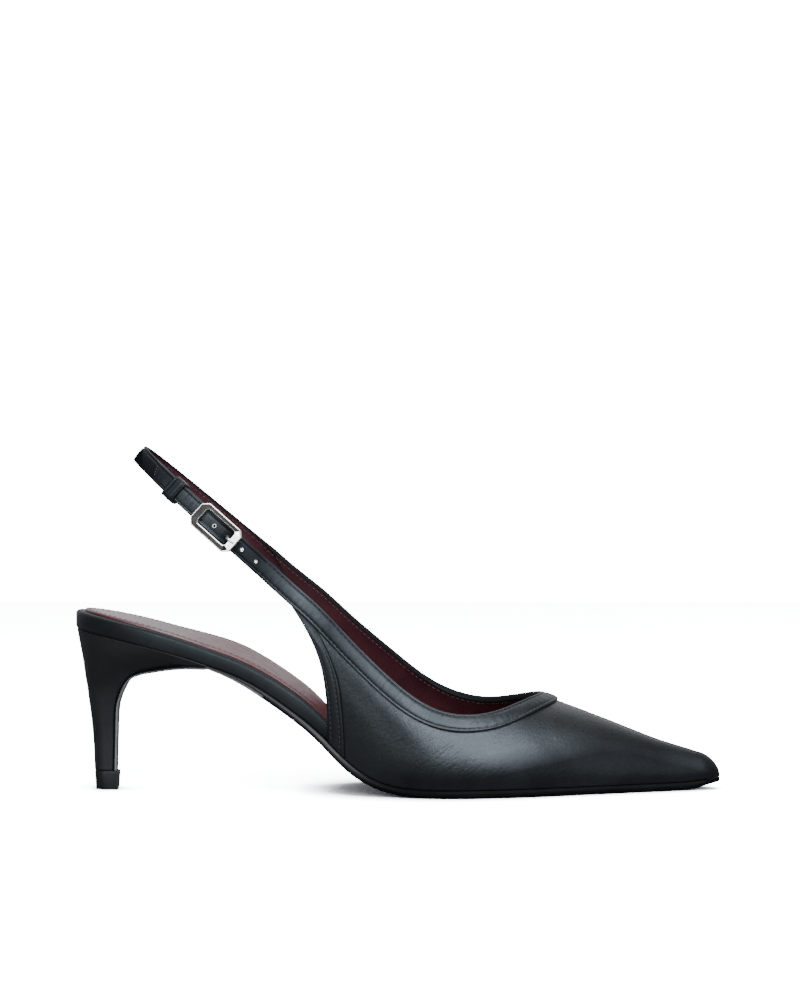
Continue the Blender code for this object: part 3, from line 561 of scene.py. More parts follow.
class Finish:
    """Procedural material with short calls for the nodes that the finishes share."""

    def __init__(self, name, roughness, metallic=0.0, specular=0.5):
        self.material = bpy.data.materials.new(name)
        self.material.use_nodes = True
        self.tree = self.material.node_tree
        self.shader = self.tree.nodes["Principled BSDF"]
        self.set("Roughness", roughness)
        self.set("Metallic", metallic)
        self.set("Specular IOR Level", specular)
        self.place = self.add("TexCoord", {}).outputs["Object"]

    def add(self, kind, inputs):
        return add_node(self.tree, kind, inputs)

    def set(self, socket, value):
        self.shader.inputs[socket].default_value = value

    def link(self, value, socket):
        self.tree.links.new(value, self.shader.inputs[socket])

    def mapped(self, scale, turn=0.0):
        """Object coordinates for a pattern whose first axis is tipped down towards the toe by the turn."""
        tip = (0.0, math.radians(turn), 0.0)
        sizes = [1 / value for value in scale]
        node = self.add("Mapping", {"Vector": self.place, "Rotation": tip, "Scale": sizes})
        node.vector_type = "TEXTURE"
        return node.outputs["Vector"]

    def noise(self, scale, detail=3.0, vector=None):
        inputs = {"Scale": scale, "Detail": detail, "Roughness": 0.55, "Vector": vector or self.place}
        return self.add("TexNoise", inputs).outputs["Fac"]

    def cells(self, scale):
        node = self.add("TexVoronoi", {"Scale": scale, "Vector": self.place})
        node.feature = "SMOOTH_F1"
        return node.outputs["Distance"]

    def range(self, value, low, high, start=0.3, end=0.7):
        inputs = {"Value": value, "From Min": start, "From Max": end, "To Min": low, "To Max": high}
        return self.add("MapRange", inputs).outputs["Result"]

    def colours(self, value, first, second):
        node = self.add("ValToRGB", {"Fac": value})
        for element, place, colour in zip(node.color_ramp.elements, (0.35, 0.65), (first, second)):
            element.position = place
            element.color = (*colour, 1.0)
        self.set("Base Color", (*first, 1.0))
        self.link(node.outputs["Color"], "Base Color")

    def vary(self, socket, value, low, high):
        self.link(self.range(value, low, high), socket)

    def measure(self, way):
        """Distance in metres from the origin along a direction."""
        node = self.add("VectorMath", {0: self.place, 1: way})
        node.operation = "DOT_PRODUCT"
        return node.outputs["Value"]

    def minus(self, first, second):
        node = self.add("Math", {0: first, 1: second})
        node.operation = "SUBTRACT"
        return node.outputs["Value"]

    def stepped(self, stops):
        """A value that changes from heel to toe, each place in millimetres."""
        value = stops[0][1]
        distance = self.measure((1.0, 0.0, 0.0))
        for (start, _), (end, high) in zip(stops, stops[1:]):
            value = self.range(distance, value, high, start * MM, end * MM)
        return value

    def along_shoe(self, socket, stops):
        self.link(self.stepped(stops), socket)

    def bump(self, value, depth):
        """Adds relief of a depth in millimetres over what is there already."""
        inputs = {"Strength": 1.0, "Distance": depth * MM, "Height": value}
        before = self.shader.inputs["Normal"]
        if before.links:
            inputs["Normal"] = before.links[0].from_socket
        self.link(self.add("Bump", inputs).outputs["Normal"], "Normal")


def make_plain(name, roughness, specular, clouds, dark, light, grain, depth):
    """Even finish with faint clouds and a fine grain, each a noise of one scale and detail."""
    finish = Finish(name, roughness, specular=specular)
    finish.colours(finish.noise(*clouds), dark, light)
    finish.bump(finish.noise(*grain), depth)
    return finish


def make_nappa(name, roughness, specular, grain, coat, tone, shaded_vamp_shine=0.0):
    """Smooth black calf leather with a drawn grain and a soft satin face. Its shine is cut low on the vamp
    and lowered towards the toe, as painted shade.
    """
    finish = Finish(name, roughness, specular=specular)
    finish.set("Specular Tint", BLUE_SHEEN)
    dark, light = ([tone * value for value in colour] for colour in BLACKS)
    finish.colours(finish.noise(45.0), dark, light)
    drawn = finish.mapped((190.0, 1100.0, 1100.0), -34.0)
    finish.vary("Roughness", finish.noise(1.0, 2.0, drawn), roughness - 0.05, roughness + 0.06)
    finish.bump(finish.noise(1.0, 3.0, drawn), grain)
    finish.bump(finish.cells(1500.0), grain * 0.5)
    finish.bump(finish.noise(160.0, 2.0), grain * 1.2)
    finish.set("Coat Weight", coat)
    finish.set("Coat Roughness", roughness)
    finish.set("Coat IOR", 1.45)
    # Painted shade: the shine and coat are cut low on the vamp and lowered towards the toe
    if shaded_vamp_shine:
        forward = finish.measure((1.0, 0.0, 0.0))
        upper = finish.range(forward, specular, 0.56 * specular, 0.150, 0.185)
        above = finish.minus(finish.measure((0.0, 0.0, 1.0)), finish.stepped(VAMP_SHADE_EDGE))
        height = finish.range(above, shaded_vamp_shine * specular, upper, -0.004, 0.005)
        front = finish.range(forward, specular, height, 0.094, 0.118)
        finish.link(front, "Specular IOR Level")
        finish.link(finish.range(front, 0.0, coat, 0.3 * specular, specular), "Coat Weight")
    return finish.material


def make_band_leather():
    """Padded band: the same leather, brighter, with fine wrinkles."""
    finish = Finish("band_leather", 0.36)
    finish.set("Specular Tint", BLUE_SHEEN)
    finish.colours(finish.noise(60.0), (0.0058, 0.0064, 0.0076), (0.0086, 0.0094, 0.0110))
    finish.vary("Roughness", finish.noise(420.0, 2.0), 0.29, 0.38)
    finish.bump(finish.noise(1.0, 3.0, finish.mapped((760.0, 130.0, 130.0), 42.0)), 0.15)
    finish.bump(finish.cells(1600.0), 0.015)
    finish.along_shoe("Specular IOR Level", BAND_SHINE)
    finish.along_shoe("Coat Weight", [(place, 0.22 * max(value - 0.06, 0.0)) for place, value in BAND_SHINE])
    finish.set("Coat Roughness", 0.38)
    return finish.material


def make_burgundy(name, dark, light, roughness, pucker, specular):
    """Dyed lining leather, smooth, with faint clouds and pores, drawn up a little along its edges."""
    finish = Finish(name, roughness)
    finish.colours(finish.noise(70.0, 4.0), dark, light)
    finish.vary("Roughness", finish.noise(300.0, 2.0), roughness - 0.05, roughness + 0.06)
    finish.bump(finish.cells(1400.0), 0.02)
    finish.bump(finish.noise(220.0, 3.0), 0.03)
    if pucker:
        finish.bump(finish.noise(1.0, 2.0, finish.mapped((900.0, 160.0, 160.0), 46.0)), pucker)
    finish.along_shoe("Specular IOR Level", specular)
    finish.along_shoe("Coat Weight", [(place, 0.5 * value) for place, value in specular])
    finish.set("Coat Roughness", 0.2)
    return finish.material


def make_sole_gloss():
    """Polished black sole leather with faint streaks."""
    finish = make_plain("sole_gloss", 0.28, 0.3, (80.0,), (0.0022, 0.0022, 0.0026), (0.0036, 0.0036, 0.0040),
                        (500.0,), 0.01)
    shine = ((REAR_FOOT - 30, 0.12), (REAR_FOOT, 0.22), (REAR_FOOT + 30, 0.02))
    finish.along_shoe("Specular IOR Level", shine)
    finish.vary("Roughness", finish.noise(1.0, 3.0, finish.mapped((90.0, 700.0, 700.0))), 0.22, 0.36)
    finish.along_shoe("Coat Weight", ((REAR_FOOT, 0.06), (REAR_FOOT + 40, 0.0)))
    finish.set("Coat Roughness", 0.2)
    return finish.material


def make_heel_cover():
    """Matt black leather drawn over the heel block, with a fine upright grain."""
    finish = Finish("heel_cover_leather", 0.5, specular=0.14)
    finish.colours(finish.noise(60.0), (0.0115, 0.0116, 0.0121), (0.0155, 0.0157, 0.0164))
    upright = finish.mapped((900.0, 900.0, 240.0))
    finish.vary("Roughness", finish.noise(1.0, 2.0, upright), 0.44, 0.58)
    finish.bump(finish.noise(1.0, 3.0, upright), 0.03)
    finish.bump(finish.cells(1500.0), 0.015)
    return finish.material


def make_rubber():
    """Matt black rubber of uneven roughness."""
    finish = make_plain("top_piece_rubber", 0.55, 0.25, (300.0,), (0.0050, 0.0050, 0.0055),
                        (0.0080, 0.0080, 0.0086), (900.0, 2.0), 0.03)
    finish.vary("Roughness", finish.noise(500.0), 0.48, 0.64)
    return finish.material


def make_metal(name, first, second, roughness):
    """Silver metal with hairline scratches."""
    finish = Finish(name, roughness, metallic=1.0)
    hair = finish.mapped((120.0, 900.0, 900.0), 41.0)
    finish.vary("Roughness", finish.noise(1.0, 2.0, hair), roughness - 0.02, roughness + 0.03)
    finish.bump(finish.noise(1.0, 2.0, hair), 0.0006)
    finish.colours(finish.noise(200.0, 2.0), first, second)
    return finish.material


def make_thread(name, dark, light):
    return make_plain(name, 0.55, 0.45, (700.0, 2.0), dark, light, (2600.0, 2.0), 0.03).material


NAPPA = make_nappa("black_nappa", 0.32, 0.48, 0.09, 0.12, 1.5, 0.08)
FACING = make_nappa("facing_leather", 0.40, 0.26, 0.06, 0.0, 2.0)
KEEPER_LEATHER = make_nappa("keeper_leather", 0.36, 0.22, 0.04, 0.0, 1.5)
BOARD_LEATHER = make_nappa("board_leather", 0.42, 0.20, 0.03, 0.0, 1.9)
EDGE_LEATHER = make_nappa("edge_leather", 0.45, 0.06, 0.03, 0.0, 1.2)
BAND = make_band_leather()
LINING = make_burgundy("burgundy_lining", (0.024, 0.0062, 0.0088), (0.038, 0.0096, 0.0130), 0.46, 0.16,
                       LINING_SHINE)
SOCK_LEATHER = make_burgundy("burgundy_sock", (0.080, 0.024, 0.028), (0.108, 0.034, 0.037), 0.40, 0.0,
                             SOCK_SHINE)
SOLE_GLOSS = make_sole_gloss()
# Pale grey painted reflection of the white floor on the sole's bevel under the arch and down the heel's
# front, which shows as a pale line
PAINTED_FLOOR_REFLECTION = make_plain("sole_bevel", 0.3, 0.5, (80.0,), (0.10, 0.10, 0.10), (0.15, 0.15, 0.148),
                           (500.0,), 0.01).material
HEEL_COVER = make_heel_cover()
RUBBER = make_rubber()
METAL = make_metal("polished_metal", (0.83, 0.81, 0.79), (0.90, 0.88, 0.86), 0.12)
# Near-black metal as painted shade in the buckle's channel
CHANNEL_SHADE_METAL = make_metal("channel_painted_shade", (0.022, 0.021, 0.020), (0.040, 0.038, 0.036), 0.30)
# Pale painted light where the punched holes show
HOLE_LIGHT_PAINT = make_plain("hole_painted_light", 0.45, 0.5, (900.0, 2.0), (0.52, 0.50, 0.48), (0.70, 0.69, 0.67),
                      (1500.0, 2.0), 0.01).material
BLACK_THREAD = make_thread("black_thread", (0.022, 0.024, 0.027), (0.050, 0.053, 0.058))
DARK_THREAD = make_thread("dark_thread", (0.006, 0.0062, 0.007), (0.014, 0.015, 0.016))
LINING_THREAD = make_thread("lining_thread", (0.030, 0.013, 0.017), (0.062, 0.034, 0.041))


def distances(places):
    """Distance of each place from the first, along the line."""
    return np.concatenate(((0.0,), np.cumsum(np.linalg.norm(np.diff(places, axis=0), axis=1))))


def circle(count):
    """Cosine and sine of even steps round a circle."""
    angles = [2 * math.pi * i / count for i in range(count)]
    return [(math.cos(angle), math.sin(angle)) for angle in angles]


def stitch_row(name, places, outward, finish, slot, pitch, radius=0.19):
    """Row of short threads along a line, each one dipping into the leather at both ends."""
    places = np.array(places)
    outward = np.array(outward)
    lengths = distances(places)
    points = []
    faces = []
    sides = 6

    def at(distance):
        place = np.array([np.interp(distance, lengths, places[:, k]) for k in range(3)])
        out = np.array([np.interp(distance, lengths, outward[:, k]) for k in range(3)])
        return place, unit(out)

    for i in range(int(lengths[-1] / pitch)):
        first = len(points)
        start, _ = at(i * pitch)
        end, _ = at((i + 1) * pitch)
        run = unit(end - start)
        for share, thick, lift in STITCH_ROWS:
            centre, out = at((i + share) * pitch)
            across = np.cross(run, out)
            for flat, high in circle(sides):
                offset = across * flat * 1.1 + out * (high * 0.8)
                points.append(centre + out * lift * radius + offset * radius * thick)
        for ring in range(len(STITCH_ROWS) - 1):
            for k in range(sides):
                a = first + ring * sides + k
                b = first + ring * sides + (k + 1) % sides
                faces.append((a, b, b + sides, a + sides))
        faces.append(tuple(range(first, first + sides)))
        last = first + (len(STITCH_ROWS) - 1) * sides
        faces.append(tuple(range(last, last + sides)))
    return dress(make_piece(name, points, faces, [finish], sharp=80), slot)


# Upper

def rear_edge(share):
    """The quarter's rear edge leans back towards the strap as it rises."""
    return REAR_FOOT - REAR_SWEEP * rear_lean(share)


def facing_fade(share):
    """The facing strip thins out where the topline band lies over it."""
    return 1 - ease(share, 0.67, 0.77)


def turn_at(distance):
    """Place along the collar at a distance in front of the quarter's rear edge."""
    return math.asin(min(distance / COLLAR_REACH, 1.0)) * 2 / math.pi


def open_point(turn, side, share, inset):
    """Place beside the opening: share 0 at the feather edge, 1 at the collar."""
    start = 0.0 if side < 0 else 2.0
    edge = rear_edge(share)
    x = edge + (THROAT - edge) * math.sin(turn * math.pi / 2)
    spread = FACING_SPREAD * ease(share, 0.35, 0.8) * ease(turn, 0.0, turn_at(FACING_WIDTH))
    x += spread * (1 - ease(turn, turn_at(FACING_WIDTH), turn_at(4 * FACING_WIDTH)))
    skin = inset * facing_fade(share) if inset < 0 else inset
    return last_point(x, lerp(start, collar_turn(turn, side), share), skin)


def crease_line(row):
    """Start and run of a crease's line in millimetres, with its width and depth."""
    crease = dict(zip(CREASE_COLUMNS, row))
    start, end = (np.array((SEAT_BACK + crease[name + "_along"] * LENGTH, crease[name + "_up"] * INSTEP_RISE))
                  for name in ("from", "to"))
    return start, end - start, crease["width"], crease["depth"]


CREASES = [crease_line(row) for row in CREASE_ROWS]


def crease_depth(point):
    """How far the creases sink the leather at a place, fading out at both ends of each line."""
    x, z = point[0], point[2]
    total = 0.0
    for start, run, width, depth in CREASES:
        share = np.dot((x, z) - start, run) / np.dot(run, run)
        aside = abs((x - start[0]) * run[1] - (z - start[1]) * run[0]) / np.linalg.norm(run)
        if -0.4 < share < 1.4 and aside < 3 * width:
            fade = ease(share, -0.35, 0.3) * (1 - ease(share, 0.7, 1.35))
            total += depth * fade * math.exp(-(aside / width) ** 2)
    return total


def creased(point):
    """Moves a point of the outer skin towards the middle of its section by the creases there."""
    middle = np.array((point[0], 0.0, bottom(point[0]) + 0.3 * INSTEP_RISE * ridge_share(along(point[0]))))
    return point - unit(point - middle) * crease_depth(point)


def upper_rows(skin_inset, facing_lift):
    """Rows from the rear edge forward: place along the collar and inset, with a folded rear edge."""
    turn_in = (WALL - FACING_STEP) / 2
    fold = 0.11 * FACING_WIDTH
    face = skin_inset - FACING_STEP * facing_lift
    rows = []
    for i in range(FOLD_STEPS):
        angle = math.pi / 2 * (1 - i / FOLD_STEPS)
        rows.append((turn_at(fold * (1 - math.sin(angle))), lerp(turn_in, face, math.cos(angle))))
    for across, lift in FACING_ROWS:
        rows.append((turn_at(FACING_WIDTH * across), skin_inset - FACING_STEP * lift * facing_lift))
    last = rows[-1][0]
    rows += [(turn, skin_inset) for turn in spaced(last, 1.0, 78, 0.35)[1:]]
    return rows


def make_upper():
    """Hollow wall with its facing strips, black outside and lined inside."""
    columns = 46
    across = 2 * columns
    tip_rows = 62
    points = []
    index = {}
    faces = []
    picks = []

    def place(skin, part, rows):
        for i, row in enumerate(rows):
            for j, point in enumerate(row):
                index[skin, part, i, j] = len(points)
                points.append(point if skin else creased(point))

    def face(corners, finish):
        faces.append(tuple(index[corner] for corner in corners))
        picks.append(finish)

    def square(skin, part, i, j, finish):
        ends = ((i, j), (i, j + 1), (i + 1, j + 1), (i + 1, j))
        face([(skin, part, *end) for end in ends], finish)

    for skin, inset, facing in ((0, 0.0, 1.0), (1, WALL, 0.0)):
        rows = upper_rows(inset, facing)
        grids = {}
        for part, side in (("outer", -1), ("inner", 1)):
            grids[part] = [[open_point(turn, side, j / columns, row_inset) for j in range(columns + 1)]
                           for turn, row_inset in rows]
            place(skin, part, grids[part])
        closed = [grids["outer"][-1] + grids["inner"][-1][-2::-1]]
        tip = TOE_TIP - inset - 0.01
        for i in range(1, tip_rows + 1):
            x = THROAT + (tip - THROAT) * math.sin(i / tip_rows * math.pi / 2)
            closed.append([last_point(x, 2 * j / across, inset) for j in range(across + 1)])
        place(skin, "closed", closed)
        count = len(rows)
        for part in ("outer", "inner"):
            for i in range(count - 1):
                for j in range(columns):
                    strip = 2 if i < FOLD_STEPS + len(FACING_ROWS) - 5 else 0
                    square(skin, part, i, j, 1 if skin and i > FOLD_STEPS else strip)
        for i in range(tip_rows):
            for j in range(across):
                square(skin, "closed", i, j, skin)
        face([(skin, "closed", tip_rows, j) for j in range(across + 1)], skin)
    rim = []
    for part in ("outer", "inner"):
        rim += [((part, i, j), (part, i + 1, j)) for j in (0, columns) for i in range(count - 1)]
    rim += [(("closed", i, j), ("closed", i + 1, j)) for j in (0, across) for i in range(tip_rows)]
    rim += [(("closed", tip_rows, 0), ("closed", tip_rows, across))]
    for a, b in rim:
        face([(0, *a), (0, *b), (1, *b), (1, *a)], 0)
    shell = make_piece("upper_shell", points, faces, [NAPPA, LINING, FACING], picks, 50)
    return dress(shell, "upper", "upper")


def make_facing_stitches():
    """Two rows down each facing strip."""
    for part, side in (("outer", -1), ("inner", 1)):
        for number, across in enumerate(FACING_STITCHES):
            turn = turn_at(FACING_WIDTH * across)
            places = []
            outward = []
            for i in range(60):
                share = lerp(0.03, 0.86, i / 59)
                inset = -FACING_STEP * 0.8
                here = open_point(turn, side, share, inset)
                places.append(here)
                outward.append(unit(here - open_point(turn, side, share, inset + 0.3)))
            stitch_row("facing_stitches_%s_%d" % (part, number), places, outward, DARK_THREAD, "upper", 2.0)


# Sole, board and sock

def heel_rise_z(rise, x, y):
    """Height of a heel section: level at the top piece, along the seat at the top."""
    return lerp(TOP_PIECE_HEIGHT + GAP, bottom(x, y) - GAP, rise)


def breast_x(rise):
    return lerp(STEM_FRONT, BREAST_REACH, heel_front(rise))


def heel_half_width(rise):
    seat = half_width(SEAT_BACK + SEAT_ROUND, 1) - SEAT_MARGIN
    return lerp(STEM_HALF_WIDTH, seat, heel_width(rise))


def sole_stations():
    """Sole run from the toe to the breast, then down the heel's front."""
    stations = []
    for x in spaced(TOE_TIP - 0.08, BREAST_REACH, 170, 0.55):
        toe = ease(x, TOE_TIP - TOE_TAPER, TOE_TIP)
        shank = 1 - ease(along(x), 0.36, 0.47)
        thickness = lerp(lerp(SOLE_THICKNESS, SHANK_THICKNESS, shank), TOE_EDGE, toe)
        thickness = lerp(FLAP_THICKNESS, thickness, ease(x, BREAST_REACH, BREAST_REACH + FLAP_RUN))
        stations.append((x, None, half_width(x, -1), half_width(x, 1), thickness))
    for rise in spaced(0.99, 0.0, 60, 0.3):
        width = heel_half_width(rise)
        stations.append((breast_x(rise), rise, width, width, FLAP_THICKNESS + GAP - FLAP_CLEAR))
    return stations


def station_height(station, x, y):
    return bottom(x, y) - GAP if station[1] is None else heel_rise_z(station[1], x, y)


def sole_ring(station, normal):
    """Section of the sole: flat top, square edge and a rounded bevel underneath."""
    x, rise, outer, inner, thickness = station
    skin = FLAP_CLEAR if rise is not None else 0.0
    bevel = min(SOLE_BEVEL, thickness * 0.45, min(outer, inner) * 0.5)
    corner = min(0.3, bevel)
    edge = [(corner, 0.0), (0.0, corner), (0.0, thickness - bevel)]
    for i in range(1, 6):
        angle = math.pi / 2 * i / 5
        edge.append((bevel * (1 - math.cos(angle)), thickness - bevel * (1 - math.sin(angle))))
    profile = [(inner - inset, depth) for inset, depth in edge]
    profile += [(lerp(-outer + bevel, inner - bevel, share), thickness) for share in (0.75, 0.5, 0.25)]
    profile += [(-outer + inset, depth) for inset, depth in reversed(edge)]
    profile += [(lerp(-outer, inner, share), 0.0) for share in (0.25, 0.5, 0.75)]
    return [np.array((x, y, station_height(station, x, y))) + normal * (skin + depth) for y, depth in profile]


def make_outsole():
    """Sole and flap in one skin, with a painted reflection of the floor, pale grey, on the bevel under the
    arch and down the heel.
    """
    stations = sole_stations()
    centre = [np.array((s[0], 0.0, station_height(s, s[0], 0.0))) for s in stations]
    rings = []
    for i, station in enumerate(stations):
        before = centre[max(i - 3, 0)]
        after = centre[min(i + 3, len(centre) - 1)]
        run = unit(after - before)
        normal = np.array((-run[2], 0.0, run[0]))
        if station[1] is None and station[0] > REAR_FOOT:
            down = np.array((0.0, 0.0, -1.0))
            normal = unit(lerp(normal, down, ease(station[0], REAR_FOOT, REAR_FOOT + 25)))
        if station[1] == 0.0:
            normal = np.array((1.0, 0.0, 0.0))
        rings.append(sole_ring(station, normal))

    def finish_of(i, j):
        # The bevel under the arch and down the heel takes the pale painted floor reflection
        return int(j in BEVEL_STRIPS and stations[i][0] < COLLAR_REAR)

    sole = loft("outsole_gloss", rings, [SOLE_GLOSS, PAINTED_FLOOR_REFLECTION], pick=finish_of, sharp=50)
    return dress(sole, "outsole", "outsole")


def board_inset(x):
    """The board draws in where it goes inside the upper."""
    return lerp(BOARD_MARGIN, INNER_INSET + GAP, ease(x, REAR_FOOT - BOARD_TUCK, REAR_FOOT))


def board_top(x, y):
    return bottom(x, y) + BOARD_THICKNESS * board_share(along(x))


def plan_ring(share, back, front, levels, inset_at, height):
    """Section of a bevelled plate. Each level has an inset, and its stations follow its own outline."""
    left = []
    right = []
    for inset, rise in levels:
        x = lerp(SEAT_BACK + back + inset, TOE_TIP - front - inset, share)
        for side, row in ((-1, left), (1, right)):
            y = side * half_width(x, side, inset_at(x) + inset)
            row.append(np.array((x, y, height(x, y, rise))))
    return left, right


def strips(start, end, rise, height, count=8):
    """Even places between two edges of a plate."""
    flats = [lerp(start, end, k / count) for k in range(1, count)]
    return [np.array((x, y, height(x, y, rise))) for x, y, _ in flats]


def plate(name, back, front, levels, inset_at, height, finish, count=150):
    """Plate that follows the foot bed, closed by even strips over its top and underside."""
    rings = []
    for i in range(count):
        share = (1 - math.cos(math.pi * i / (count - 1))) / 2
        share = lerp(i / (count - 1), share, 0.8)
        left, right = plan_ring(share, back, front, levels, inset_at, height)
        over = strips(left[-1], right[-1], levels[-1][1], height)
        rings.append(left + over + right[::-1] + strips(right[0], left[0], levels[0][1], height))
    return loft(name, rings, [finish], sharp=45)


def make_board():
    """Wrapped board with a soft top edge."""
    levels = [(0.25, 0.001), (0.0, 0.06), (0.0, 0.5)]
    for i in range(1, 8):
        angle = math.pi / 2 * i / 7
        levels.append((BOARD_BEVEL * (1 - math.cos(angle)), -1.0 + math.sin(angle)))

    def height(x, y, rise):
        thickness = BOARD_THICKNESS * board_share(along(x))
        bevel = min(BOARD_BEVEL, thickness * 0.6)
        if rise <= 0.0 and rise > -1.0:
            return bottom(x, y) + thickness + bevel * rise
        return bottom(x, y) + (thickness - bevel) * min(rise * 2, 1.0)

    board = plate("insole_board_wrap", 0.5, 2.2, levels, board_inset, height, BOARD_LEATHER)
    return dress(board, "insole_board", "insole_board")


def make_sock():
    """Glossy lining sheet with a soft edge."""
    inset = INNER_INSET + SOCK_INSET
    levels = [(0.0, 0.0), (0.0, 0.55), (0.08, 0.8), (0.25, 0.95), (0.5, 1.0)]

    def height(x, y, rise):
        return board_top(x, y) + GAP * 0.5 + (SOCK_THICKNESS + GAP * 0.5) * rise

    sock = plate("sock_lining", inset + 0.2, inset + 4, levels, lambda x: inset, height, SOCK_LEATHER)
    places = []
    for side in (-1, 1):
        row = []
        for i in range(120):
            x = lerp(SEAT_BACK + inset + SOCK_STITCH_BACK, REAR_FOOT + SOCK_STITCH_RUN,
                     (1 - math.cos(math.pi / 2 * i / 119)))
            y = side * half_width(x, side, inset + SOCK_STITCH_INSET)
            row.append(np.array((x, y, height(x, y, 1.0))))
        places = places + row if places else row[::-1]
    outward = [np.array((0.0, 0.0, 1.0))] * len(places)
    stitch_row("sock_stitches", places, outward, LINING_THREAD, "sock", 2.4, 0.17)
    return dress(sock, "sock", "sock")


# Heel

def d_shape(back, front, width, reach, count=26):
    """Plan of the heel: round at the back, straight across at the front."""
    reach = min(reach, front - back - 0.3)
    centre = back + reach
    outline = []
    for i in range(2 * count + 1):
        angle = math.pi / 2 + math.pi * i / (2 * count)
        outline.append((centre + reach * math.cos(angle), width * math.sin(angle)))
    sides = (0.25, 0.5, 0.75, 1.0)
    lower = [(lerp(centre, front, share), -width) for share in sides]
    across = [(front, width * share) for share in (-0.5, 0.0, 0.5)]
    upper = [(lerp(centre, front, share), width) for share in sides[::-1]]
    return outline + lower + across + upper


def make_heel():
    """Covered block, tucked in a little at the seat and at the top piece."""
    rings = []
    for rise in spaced(0.0, 1.0, 90, 0.35):
        tuck = 0.45 * (1 - quarter_round(1 - rise, 0.012)) + 0.2 * (1 - quarter_round(rise, 0.008))
        back = lerp(-STEM_BACK, SEAT_BACK + SEAT_MARGIN, heel_back(rise)) + tuck
        reach = lerp(STEM_ROUND, SEAT_ROUND, heel_round(rise))
        plan = d_shape(back, breast_x(rise), heel_half_width(rise) - tuck, reach)
        rings.append([np.array((x, y, heel_rise_z(rise, x, y))) for x, y in plan])
    return dress(loft("heel_wrap", rings, [HEEL_COVER], sharp=50), "heel", "heel")


def make_top_piece():
    front = STEM_FRONT + GAP + FLAP_THICKNESS + 2 * TOP_PIECE_MARGIN
    rings = []
    for rise, margin in ((0.0, -0.25), (0.05, 0.0), (0.92, TOP_PIECE_MARGIN), (0.97, TOP_PIECE_MARGIN - 0.05),
                         (1.0, TOP_PIECE_MARGIN - 0.2)):
        plan = d_shape(-STEM_BACK + 0.5 - margin, front + margin - TOP_PIECE_MARGIN,
                       STEM_HALF_WIDTH + margin * 0.5, STEM_ROUND)
        rings.append([np.array((x, y, TOP_PIECE_HEIGHT * rise)) for x, y in plan])
    return dress(loft("top_piece_block", rings, [RUBBER], sharp=50), "top_piece", "top_piece")


# Strap

def collar_station(turn, side):
    """Three places down the band's width on the last, with their outward normals."""
    x, place = collar_x(turn), collar_turn(turn, side)
    step = 0.004
    ahead, behind = min(turn + step, 1.0), max(turn - step, 0.0)
    run = last_point(collar_x(ahead), collar_turn(ahead, side))
    run = run - last_point(collar_x(behind), collar_turn(behind, side))
    if turn > 1 - step:
        run = np.array((0.0, 1.0 if side < 0 else -1.0, 0.0))
    _, _, _, normal = surface_frame(x, place)
    down = unit(np.cross(normal, run) * -side)
    if down[2] > 0:
        down = -down
    places = [(x, place)]
    for share in (0.5, 1.0):
        places.append(walk(x, place, down, STRAP_WIDTH * share))
    return [(point, out) for point, _, _, out in (surface_frame(*spot) for spot in places)]


def loop_side(side, count):
    """Top edge of the sling from the quarter round to the middle of the back, and the way down it."""
    start = last_point(collar_x(0.0), collar_turn(0.0, side))
    outer_start = last_point(collar_x(0.0), collar_turn(0.0, -1))
    back = np.array((STRAP_BACK, 0.0, outer_start[2] + STRAP_LIFT))
    slope = back - start
    slope[1] = 0.0
    slope = unit(slope)
    down = np.array((-slope[2], 0.0, slope[0]))
    edge = []
    for i in range(count + 1):
        angle = i / count * math.pi / 2
        reach = math.sin(angle) ** (2 / STRAP_CURVE)
        half = max(math.cos(angle), 0.0) ** (2 / STRAP_CURVE)
        point = lerp(start, back, reach)
        point[1] = start[1] * half
        edge.append(point)
    return np.array(edge), down


def resample(points, spacing):
    """The line with even steps, and the distance of each step."""
    lengths = distances(points)
    count = max(int(round(lengths[-1] / spacing)), 2)
    at = np.linspace(0.0, lengths[-1], count + 1)
    return np.stack([np.interp(at, lengths, points[:, k]) for k in range(3)], axis=1), at


def loop_frames(side, count=400, spacing=0.5):
    """Frames of the sling at equal steps from the quarter: distance, top edge, down and outward."""
    edge, down = loop_side(side, count)
    edge, at = resample(edge, spacing)
    frames = []
    for i, point in enumerate(edge):
        run = edge[min(i + 1, len(edge) - 1)] - edge[max(i - 1, 0)]
        if i == len(edge) - 1:
            run = np.array((0.0, -side, 0.0))
        frames.append((at[i], point, down, unit(np.cross(run, down) * -side)))
    return frames


OUTER_LOOP = loop_frames(-1)
INNER_LOOP = loop_frames(1)
SOLID_LOOP = loop_frames(-1, 90)
OUTER_LOOP_INDEX = {row[0]: i for i, row in enumerate(OUTER_LOOP)}
COLLAR_START = {side: collar_station(0.0, side) for side in (-1, 1)}


def nearest(loop, distance):
    return min(loop, key=lambda row: abs(row[0] - distance))


def sling_centre(distance):
    """Middle of the strap's width at a distance from the quarter, on the outer side."""
    _, point, down, out = nearest(SOLID_LOOP, distance)
    return point + down * STRAP_WIDTH / 2, down, out


def billet_shift(distance):
    """The punched end climbs over the buckle's middle bar and the strap's folded end."""
    start = BUCKLE_AT - BUCKLE_HALF_LENGTH - BILLET_LEAD
    return TAIL_SHIFT * ease(distance, start, start + BILLET_CLIMB)


def sling_tops(frame_row, side):
    """Three places down the free strap, which takes up the collar's lean where it leaves the quarter."""
    distance, point, down, out = frame_row
    collar = COLLAR_START[side]
    turned = ease(distance, -2.0, STRAP_TURN)
    down = unit(lerp((collar[2][0] - collar[0][0]) / STRAP_WIDTH, down, turned))
    out = unit(lerp(collar[1][1], out, turned))
    return [(point + down * STRAP_WIDTH * share, out) for share in (0.0, 0.5, 1.0)]


